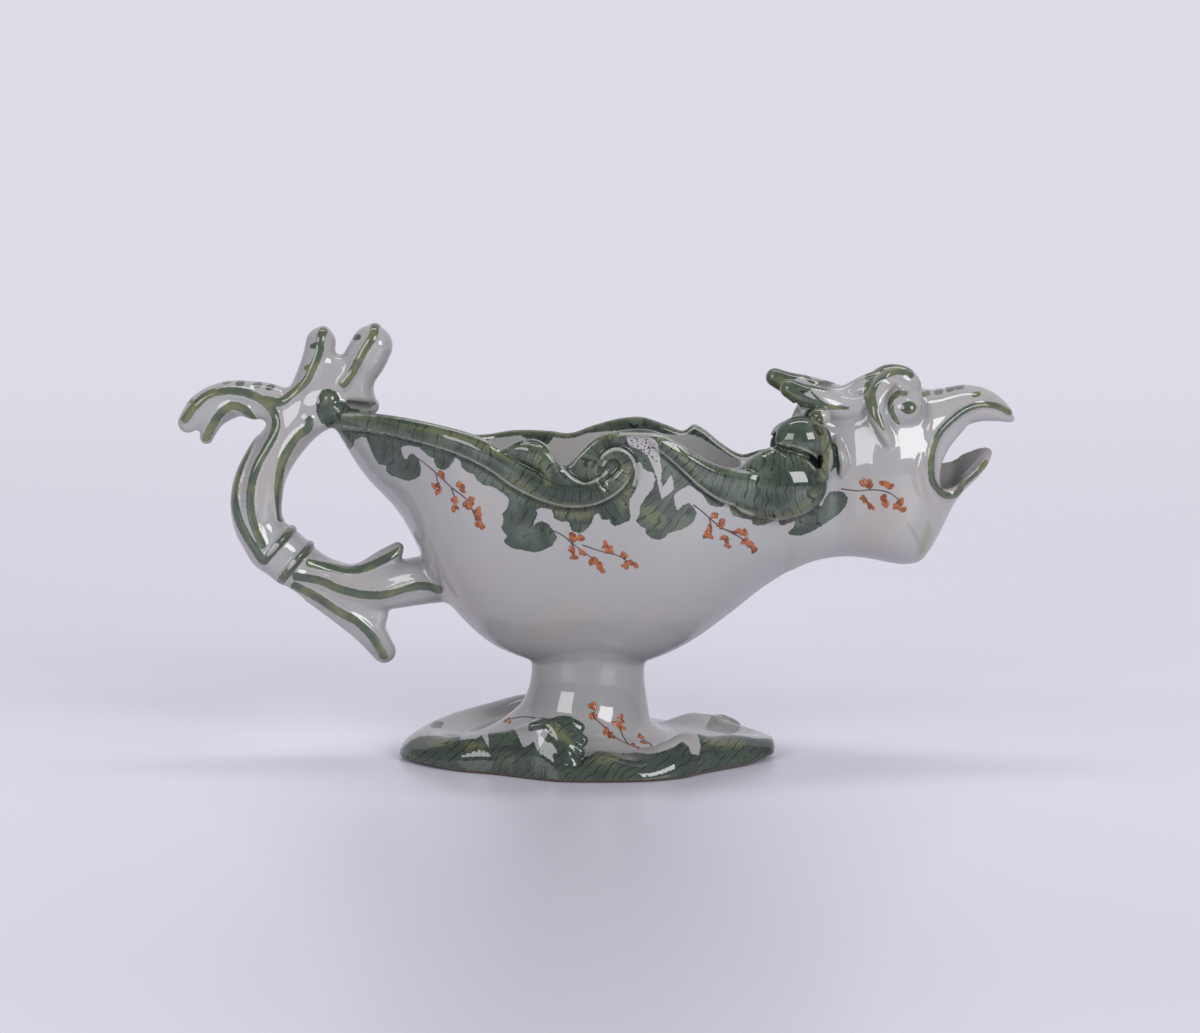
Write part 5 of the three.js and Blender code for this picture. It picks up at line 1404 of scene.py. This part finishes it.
# %% The painted glaze
tree, given, out = new_group("painted_glaze", {"Wash": 1.0, "Grey": 0.2, "Gilding": 0.35, "Edge": 0.75},
                             ("Colour", "Gloss", "Height"))
glaze = tree.group(tin_glaze)
leaf, gold, line = (tree.group(brush_mark, {"Distance": tree.mark(name), "Ragged": ragged, "Soft": soft})
                    for name, ragged, soft in (("leaf", 0.2, 0.12), ("gold", 0.5, 0.8),
                                               ("stripe", 0.14, 0.12)))
edge, hollow = tree.step(tree.mark("bend"), 0.22, 0.75), tree.step(tree.mark("bend"), -0.15, -0.6)

green = tree.mix(tree.step(tree.noise(0.12, 4.0), 0.42, 0.62, 0.0, given["Wash"]), DARK_LEAF, PALE_LEAF)
green = tree.mix(tree.step(tree.noise(0.07), 0.55, 0.68, 0.0, given["Grey"]), green, GREY_LEAF)
yellow = tree.step(tree.noise(0.09, 3.0), 0.6, 0.72, 0.0, 0.3)
green = tree.mix(tree.math("MAXIMUM", tree.times(gold["Mask"], 0.7), yellow), green, GOLD_LEAF)
for pitch, thickness, amount, strength in FINE_AND_BOLD:
    lines = tree.group(hatch_lines, {"Place": tree.mark("hatch"), "Pitch": pitch, "Thickness": thickness,
                                     "Amount": amount})
    green = tree.mix(tree.times(lines["Mask"], strength), green, HATCH_INK)
green = tree.mix(tree.times(leaf["Rim"], 0.4), green, DARK_LEAF)
green = tree.mix(tree.times(edge, given["Gilding"]), green, GOLD_LEAF)
# The sharpest edges get a pale line, partly glaze run thin and partly a painted highlight.
green = tree.mix(tree.step(tree.mark("bend"), 0.72, 1.15, 0.0, given["Edge"]), green, EDGE_GLAZE_AND_HIGHLIGHT)
# Painted shade in the hollows, together with the colour pooling there.
green = tree.mix(tree.times(hollow, 0.6), green, POOLED_LEAF_AND_SHADE)

blotch = tree.step(tree.noise(0.2, 3.0), 0.3, 0.7, 0.25, 0.8)
bare = tree.mix(tree.times(edge, blotch), glaze["Colour"], THIN_GLAZE)
# Bare glaze in hollows is darker: partly pooled glaze, partly painted shade.
bare = tree.mix(tree.times(hollow, 0.4), bare, POOLED_GLAZE_AND_SHADE)
bare = tree.mix(tree.step(tree.mark("stain"), 1.2, -1.6, 0.0, 0.5), bare, CHIN_YELLOW)
dots = tree.node("ShaderNodeTexVoronoi", {"Vector": tree.place(), "Scale": SPECKLES_TO_THE_MM / MM})
dots = tree.times(tree.step(dots.outputs["Distance"], 0.36, 0.28), tree.step(tree.mark("speckle"), 0.5, -1.2))
bare = tree.mix(dots, bare, HATCH_INK)
# Painted shade on the stem: darker from about 7 mm up, fading out again between 30 and 38 mm.
stem = tree.times(tree.step(tree.mark("height"), 6.9, 18.9, 0.0, 0.75),
                  tree.step(tree.mark("height"), 37.9, 29.9))
bare = tree.mix(stem, bare, STEM_SHADE)

colour = tree.mix(leaf["Mask"], bare, green)
stripe = tree.mix(tree.step(tree.noise(0.15), 0.42, 0.66), STRIPE_GREEN, STRIPE_OLIVE)
colour = tree.mix(tree.times(line["Mask"], 0.93), colour, stripe)
tree.link(tree.mix(tree.step(tree.mark("height"), 1.3, 0.5), colour, BARE_CLAY), out["Colour"])
for key in ("Gloss", "Height"):
    tree.link(glaze[key], out[key])
painted_glaze = tree.made
print("group", painted_glaze.name, "of", len(painted_glaze.nodes), "nodes")

# %% [markdown]
# Both materials of the clay are a plain glossy shader under that group. The glaze is glassy, with more lead
# than window glass, so it mirrors a little more.

# %% The faience
WAVE_STRENGTH, WAVE_DEPTH, GLAZE_IOR = 0.25, 0.4 * MM, 1.65
SHARES = {"painted_faience": {}, "painted_foot": {"Wash": 0.4, "Grey": 0.1, "Gilding": 0.0, "Edge": 0.0}}


def glossy(name, ior):
    """A new material, its tree and the inputs of its shader."""
    made = bpy.data.materials.new(name)
    made.use_nodes = True
    shader = made.node_tree.nodes["Principled BSDF"].inputs
    shader["IOR"].default_value = ior
    return made, Tree(made.node_tree), shader


faience = {}
for name, shares in SHARES.items():
    faience[name], tree, shader = glossy(name, GLAZE_IOR)
    paint = tree.group(painted_glaze, shares)
    tree.link(paint["Colour"], shader["Base Color"])
    tree.link(paint["Gloss"], shader["Roughness"])
    waves = tree.node("ShaderNodeBump", {"Height": paint["Height"], "Strength": WAVE_STRENGTH,
                                         "Distance": WAVE_DEPTH})
    tree.link(waves.outputs["Normal"], shader["Normal"])
for name in REPLACED:
    finish = faience["painted_foot" if name == "faience_foot" else "painted_faience"]
    bpy.data.objects[name].data.materials.append(finish)
print("materials:", list(faience))

# %% [markdown]
# The sprigs are dabs of thick orange enamel along thin brown stems, so they stand a hair proud of the glaze.
# They repeat all over the piece, which is work for Geometry Nodes: a guide mesh holds the stems as edges and
# the dabs as loose points that lie on the clay, and the tree turns edges into thin round lines and points
# into flat petals. The guide comes first. Its points are found as the painter's eye finds them, by looking
# along a ray at the clay.

# %% Where the sprigs grow
# Stems, then blossoms, on the drawing board: x, v.
SPRIGS = [
    ([[(-54.8, 91.6), (-50.9, 88.7), (-48.1, 86.3), (-43.6, 82), (-38.5, 77.6), (-36.4, 73)],
      [(-48.1, 86.3), (-47.4, 82.4)], [(-43.6, 82), (-42, 77.4)]],
     [(-46.4, 85.9), (-47.7, 82.3), (-47.3, 80.7), (-41, 82.6), (-40.2, 81.2), (-42.6, 77.9), (-42, 75.8),
      (-37.4, 78), (-38.6, 76.2), (-35.6, 74.6), (-35.2, 72.4), (-34.9, 70.4)]),
    ([[(-13, 68.8), (-9.2, 66.6), (-7, 64), (-6.6, 60.6)], [(-8.4, 66), (-3.4, 61.8), (-0.8, 60.2)],
      [(-4.4, 64.4), (1.9, 62.3), (6.8, 61), (10.2, 58.8)]],
     [(-6.9, 66.8), (-4.6, 66.2), (-7.2, 62.9), (-6.5, 60.6), (-4.6, 62), (2.8, 64.3), (3.8, 62.8),
      (-0.8, 59.4), (0.8, 58.4), (1.8, 56.6), (8.4, 61.2), (8.9, 58.4), (10.8, 58.6)]),
    ([[(29, 76.6), (31.6, 74.6), (33.8, 72.6), (38.5, 69.1), (42.8, 68)], [(33.8, 72.6), (34.6, 69.5)],
      [(38.5, 69.1), (44, 66), (47, 62.8)]],
     [(35.6, 73.3), (37.4, 71), (33.6, 69.3), (34.2, 66.9), (32.8, 67.4), (38.5, 66.6), (39.2, 64.4),
      (42.6, 68.6), (44.6, 68), (44.8, 65.5), (46.4, 64.4), (47.4, 62.7)]),
    ([[(73.3, 81.4), (78.5, 80.8), (83.1, 81.1), (87.8, 80.2), (90.8, 78)]],
     [(80.2, 83.2), (81.8, 82.6), (86.4, 82.9), (87.8, 82.6), (80.4, 78), (82.2, 75.9), (86.2, 78.5),
      (86.8, 76.4), (91.2, 77.4), (92, 75.1), (90, 76)]),
    ([[(-0.4, 11.2), (3.2, 7.9), (6, 5.2), (9.4, 3.4), (13, 2)], [(7.2, 7.8), (8.2, 5.4), (9.6, 3.4)],
      [(17.4, 2.4), (15.4, 4), (13.4, 5)]],
     [(-0.6, 14.6), (-0.6, 12), (2.8, 7), (4.2, 5.6), (7.2, 11), (7.6, 8.6), (6, 9.6), (11.4, 2.8),
      (13.2, 5.6), (14.6, 3.8)]),
    ([[(-26, 11.2), (-21.4, 11.8), (-17.6, 11.2)]], [(-27, 10.6)]),
]
print(len(SPRIGS), "sprigs,", sum(len(blossoms) for _, blossoms in SPRIGS), "blossoms")

# %% The clay as the painter's eye finds it
corners, quads = [], []
for mesh in meshes.values():
    quads += [[i + len(corners) for i in face.vertices] for face in mesh.polygons]
    corners += vertex_places(mesh).tolist()
clay_tree = BVHTree.FromPolygons(corners, quads)
EYE = Vector((EYE_X, -EYE_DISTANCE * math.cos(LOOK_DOWN), EYE_Z + EYE_DISTANCE * math.sin(LOOK_DOWN)))


def on_clay(x, v, side):
    """The point of the clay that shows at a place of the board, and the way it faces; side 1 is far."""
    if side > 0 and v > 50 and x < 56:
        v -= float(rim_shift(x))
    flip = Vector((1, -side, 1))
    return clay_tree.ray_cast(EYE * flip * MM, (Vector((x, 0, v)) * MM - EYE * MM) * flip)[:2]


print("clay to look at:", len(quads), "faces")

# %% [markdown]
# A stem breaks off where two of its neighbouring points lie far apart, since it can't jump from one form of
# the clay to another. A blossom is a dab with three more around it, and the size of each is left to chance.

# %% The guide of the sprigs
# Dabs to a blossom, radians from one to the next, and metres that a stem can't jump.
DABS, TURN, LEAP = 4, 2.4, 0.004


def sprig_guide(chance):
    """Stem points with edges, and loose points for petals, with the way they face and their size."""
    points, edges = [], []

    def add(x, v, side, size):
        place, facing = on_clay(x, v, side)
        if place is not None:
            points.append((place, facing, size() if size else 0.0))
        return place

    for side in (-1, 1):
        for stems, blossoms in SPRIGS:
            for stem in stems:
                last = None
                for x, v in smooth_path(stem, 0.8)[0]:
                    place = add(x, v, side, None)
                    if place is not None:
                        if last is not None and (points[last][0] - place).length < LEAP:
                            edges.append((last, len(points) - 1))
                        last = len(points) - 1
            for x, v in blossoms:
                for dab in range(DABS):
                    way, out = dab * TURN + chance.uniform(0, 1.5), chance.uniform(0.1, 1.05) * (dab > 0)
                    add(x + out * math.cos(way), v + out * math.sin(way), side,
                        lambda: chance.uniform(0.55, 1.0))
    places, facings, sizes = zip(*points)
    guide = bpy.data.meshes.new("sprig_guide")
    guide.from_pydata(places, edges, [])
    guide.attributes.new("facing", "FLOAT_VECTOR", "POINT").data.foreach_set("vector",
                                                                             [c for f in facings for c in f])
    guide.attributes.new("petal", "FLOAT", "POINT").data.foreach_set("value", sizes)
    return guide


guide = sprig_guide(np.random.default_rng(7))
print("sprig guide:", len(guide.vertices), "points,", len(guide.edges), "stem edges")

# %% [markdown]
# The enamels are mixed of two tones of one colour, as a loaded brush leaves it thick and thin, and they have
# the gloss of the glaze.

# %% Enamels
ENAMEL_IOR = 1.55


def enamel(name, light, dark):
    made, tree, shader = glossy(name, ENAMEL_IOR)
    tone = tree.mix(tree.step(tree.noise(0.55, 3.0), 0.42, 0.62), light, dark)
    tree.link(tone, shader["Base Color"])
    tree.link(tree.group(tin_glaze)["Gloss"], shader["Roughness"])
    return made


orange_enamel = enamel("orange_enamel", (0.40, 0.125, 0.040, 1), (0.19, 0.045, 0.018, 1))
stem_enamel = enamel("stem_enamel", (0.115, 0.075, 0.095, 1), (0.07, 0.045, 0.055, 1))
print("enamels:", orange_enamel.name, stem_enamel.name)

# %% [markdown]
# The tree has two branches. Stems become curves with a thin ring drawn along them. Petals are flat balls,
# each laid on the clay by the way it faces and spun by chance. A ball has only 50 faces, as it is repeated
# hundreds of times.

# %% The tree's sizes and its stems
SPRIG_SIZES = {"Stem Radius": 0.2 * MM, "Petal Radius": 1.3 * MM, "Petal Rise": 0.2 * MM, "Seed": 3}
PETAL_BREADTH = 0.66  # of its length
PETAL_SEGMENTS, PETAL_RINGS = 10, 5

tree = Tree(bpy.data.node_groups.new("grow_sprigs", "GeometryNodeTree"))
sockets = tree.made.interface
sockets.new_socket("Geometry", in_out="INPUT", socket_type="NodeSocketGeometry")
for key, value in SPRIG_SIZES.items():
    kind = "NodeSocketInt" if key == "Seed" else "NodeSocketFloat"
    sockets.new_socket(key, in_out="INPUT", socket_type=kind).default_value = value
sockets.new_socket("Geometry", in_out="OUTPUT", socket_type="NodeSocketGeometry")
given = tree.node("NodeGroupInput").outputs
stems = tree.node("GeometryNodeMeshToCurve", {"Mesh": given["Geometry"]})
ring = tree.node("GeometryNodeCurvePrimitiveCircle", {"Resolution": 6, "Radius": given["Stem Radius"]})
tubes = tree.node("GeometryNodeCurveToMesh", {"Curve": stems.outputs["Curve"],
                                              "Profile Curve": ring.outputs["Curve"],
                                              "Fill Caps": True})
brown = tree.node("GeometryNodeSetMaterial", {"Geometry": tubes.outputs["Mesh"], "Material": stem_enamel})
print("inputs:", list(SPRIG_SIZES))

# %% Its petals
size = tree.node("GeometryNodeInputNamedAttribute", {"Name": "petal"}, data_type="FLOAT").outputs[0]
facing = tree.node("GeometryNodeInputNamedAttribute", {"Name": "facing"}, data_type="FLOAT_VECTOR").outputs[0]
is_petal = tree.node("FunctionNodeCompare", {"A": size, "B": 0.01}, data_type="FLOAT",
                     operation="GREATER_THAN")
spots = tree.node("GeometryNodeMeshToPoints", {"Mesh": given["Geometry"], "Selection": is_petal.outputs[0]})
ball = tree.node("GeometryNodeMeshUVSphere", {"Segments": PETAL_SEGMENTS, "Rings": PETAL_RINGS,
                                              "Radius": 1.0})
upright = tree.node("FunctionNodeAlignRotationToVector", {"Vector": facing}, axis="Z")
chance = tree.node("FunctionNodeRandomValue", {"Min": 0.0, "Max": 6.28, "Seed": given["Seed"]},
                   data_type="FLOAT")
angle = next(o for o in chance.outputs if o.type == "VALUE" and o.enabled)
spin = tree.node("FunctionNodeAxisAngleToRotation", {"Axis": (0, 0, 1), "Angle": angle})
turned = tree.node("FunctionNodeRotateRotation", {"Rotation": upright.outputs[0],
                                                  "Rotate By": spin.outputs[0]},
                   rotation_space="LOCAL")
length = tree.times(given["Petal Radius"], size)
shape = tree.node("ShaderNodeCombineXYZ", {"X": length, "Y": tree.times(length, PETAL_BREADTH),
                                           "Z": given["Petal Rise"]})
petals = tree.node("GeometryNodeInstanceOnPoints", {
    "Points": spots.outputs[0], "Instance": ball.outputs["Mesh"], "Rotation": turned.outputs[0],
    "Scale": shape.outputs[0]})
real = tree.node("GeometryNodeRealizeInstances", {"Geometry": petals.outputs[0]})
orange = tree.node("GeometryNodeSetMaterial", {"Geometry": real.outputs[0], "Material": orange_enamel})
print("petals of", PETAL_SEGMENTS * PETAL_RINGS, "faces")

# %% Both branches together
both = tree.node("GeometryNodeJoinGeometry")
for branch in (brown, orange):
    tree.link(branch.outputs[0], both.inputs[0])
tree.link(both.outputs[0], tree.node("NodeGroupOutput").inputs["Geometry"])
print("tree", tree.made.name, "of", len(tree.made.nodes), "nodes")

# %% [markdown]
# The modifier is evaluated once, and its result becomes a plain mesh. The guide with the modifier goes away.
# The guide's own empty material slot goes too, so the faces' slot numbers drop by one.

# %% The sprigs
grower = put("sprig_guide", guide)
modifier = grower.modifiers.new("sprigs", "NODES")
modifier.node_group = tree.made
for item in sockets.items_tree:
    if item.in_out == "INPUT" and item.name in SPRIG_SIZES:
        modifier[item.identifier] = SPRIG_SIZES[item.name]
bpy.context.view_layer.update()
dabs = bpy.data.meshes.new_from_object(grower.evaluated_get(bpy.context.evaluated_depsgraph_get()))
bpy.data.objects.remove(grower)
sprigs = put("enamel_sprigs", dabs)
dabs.polygons.foreach_set("use_smooth", np.ones(len(dabs.polygons), bool))
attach(sprigs, "root")
slots = np.zeros(len(dabs.polygons), int)
dabs.polygons.foreach_get("material_index", slots)
dabs.materials.pop(index=0)
slots -= 1
dabs.polygons.foreach_set("material_index", slots)
print("sprigs:", len(dabs.polygons), "faces of", [m.name for m in dabs.materials], np.bincount(slots))

# %% [markdown]
# The photograph was taken on a sheet of pale paper that runs on behind the piece and rises in a wide curve,
# so that no edge shows. One mesh of a bent profile does that.

# %% The sheet
SHEET_HALF, SHEET_FRONT, BEND_START, BEND_RADIUS, SHEET_TOP = 4, -3.0, 1.2, 0.8, 4.0
profile = [(SHEET_FRONT, 0.0), (BEND_START, 0.0)]
for angle in np.linspace(0.1, math.pi / 2, 12):
    profile.append((BEND_START + BEND_RADIUS * math.sin(angle), BEND_RADIUS - BEND_RADIUS * math.cos(angle)))
profile.append((BEND_START + BEND_RADIUS, SHEET_TOP))
mesh = bpy.data.meshes.new("seamless_sheet")
form = bmesh.new()
rows = [[form.verts.new((x, y, z)) for x in (-SHEET_HALF, SHEET_HALF)] for y, z in profile]
for (a, b), (c, d) in zip(rows, rows[1:]):
    form.faces.new((a, b, d, c))
form.to_mesh(mesh)
form.free()
mesh.polygons.foreach_set("use_smooth", [True] * len(mesh.polygons))
floor = put("seamless_sheet", mesh)
print("sheet of", len(mesh.polygons), "faces")

# %% [markdown]
# The paper is level and pale, a little glossy, and keeps the shadow. Its colour has painted shade in front
# of and under the foot, and painted light beside, behind and left of it, which lifts the lamps' shadow there.
# Far back only the even glow of the background is seen, by the camera and in reflections.

# %% The paper
# The shaded tone is painted shade, and the lit tone is painted light.
PAPER, SHADED_PAPER, LIT_PAPER = (0.84, 0.825, 0.92, 1), (0.62, 0.605, 0.68, 1), (0.93, 0.915, 1.0, 1)
BACKGROUND = (0.723, 0.708, 0.791, 1)
PAPER_ROUGHNESS = 0.32

paper = bpy.data.materials.new("paper")
paper.use_nodes = True
tree = Tree(paper.node_tree)
shader = paper.node_tree.nodes["Principled BSDF"]
along, away, _ = tree.node("ShaderNodeSeparateXYZ", {0: tree.place()}).outputs
# Painted shade: darker towards the front, and most in front of and under the foot.
nearer = tree.step(away, -0.02, -0.3, 0.0, 0.5)
centre = tree.step(tree.math("ABSOLUTE", along), 0.13, 0.01)
shaded = tree.times(tree.step(away, 0.06, -0.1), tree.math("MAXIMUM", centre, nearer))
# Painted light: lighter beside and behind the piece, where it lifts the lamps' shadow, and towards the left.
beside = tree.times(tree.step(along, -0.135, -0.09), tree.step(along, 0.02, -0.03))
beside = tree.times(beside, tree.step(away, -0.08, 0.04, 0.0, 0.9))
behind = tree.math("MAXIMUM", beside, tree.step(away, 0.07, 0.13, 0.0, 0.95))
lit = tree.math("MAXIMUM", behind, tree.step(along, -0.06, -0.3, 0.0, 0.6))
tree.link(tree.mix(lit, tree.mix(shaded, PAPER, SHADED_PAPER), LIT_PAPER), shader.inputs["Base Color"])
shader.inputs["Roughness"].default_value = PAPER_ROUGHNESS
ray = tree.node("ShaderNodeLightPath").outputs
seen_ray = tree.math("MAXIMUM", ray["Is Camera Ray"], ray["Is Glossy Ray"])
glow = tree.node("ShaderNodeEmission", {"Color": BACKGROUND, "Strength": 1.0})
far = tree.times(tree.step(away, 0.05, 0.9), seen_ray)
blend = tree.node("ShaderNodeMixShader", {0: far, 1: shader.outputs[0], 2: glow.outputs[0]})
tree.link(blend.outputs[0], paper.node_tree.nodes["Material Output"].inputs["Surface"])
floor.data.materials.append(paper)
print("paper:", len(paper.node_tree.nodes), "nodes")

# %% [markdown]
# The camera stands where the photograph's did: straight from the side, 9 degrees above the table. A long lens
# from 1.5 m keeps the flat perspective of a product picture.

# %% Camera
AIM = Vector((0.00105, 0, 0.073))
DISTANCE, FOCAL, SENSOR = 1.5, 150, 36
camera = put("camera", bpy.data.cameras.new("camera"))
camera.data.lens, camera.data.sensor_width = FOCAL, SENSOR
camera.location = AIM + DISTANCE * Vector((0, -math.cos(LOOK_DOWN), math.sin(LOOK_DOWN)))
camera.rotation_euler = (math.pi / 2 - LOOK_DOWN, 0, 0)
bpy.context.scene.camera = camera
print("camera at", [round(v, 3) for v in camera.location])

# %% [markdown]
# The highlights on the glaze show two windows of soft light in front, to the left and to the right, and a
# long strip above. Three area lamps stand for them, and a dim world fills the shadows.

# %% Light
# Place, size and power of each softbox.
SOFTBOXES = {"softbox_left": ((-0.88, -1.21, 0.60), (0.7, 0.75), 7.6),
             "softbox_right": ((0.88, -1.21, 0.64), (0.7, 0.8), 13.2),
             "softbox_top": ((0, 0.25, 1.5), (1.3, 0.24), 5.5)}
LIT_SPOT, WORLD_COLOUR, WORLD_STRENGTH = Vector((0, 0, 0.06)), (0.9, 0.89, 0.97, 1), 0.32
for name, (place, size, power) in SOFTBOXES.items():
    lamp = bpy.data.lights.new(name, "AREA")
    lamp.shape, lamp.size, lamp.size_y, lamp.energy = "RECTANGLE", size[0], size[1], power
    obj = put(name, lamp)
    obj.location = place
    obj.rotation_euler = (LIT_SPOT - Vector(place)).to_track_quat("-Z", "Y").to_euler()
world = bpy.data.worlds.new("studio")
bpy.context.scene.world = world
world.use_nodes = True
background = world.node_tree.nodes["Background"].inputs
background["Color"].default_value, background["Strength"].default_value = WORLD_COLOUR, WORLD_STRENGTH
bpy.context.scene.view_settings.view_transform = "Standard"
print("lamps:", list(SOFTBOXES))

# %% [markdown]
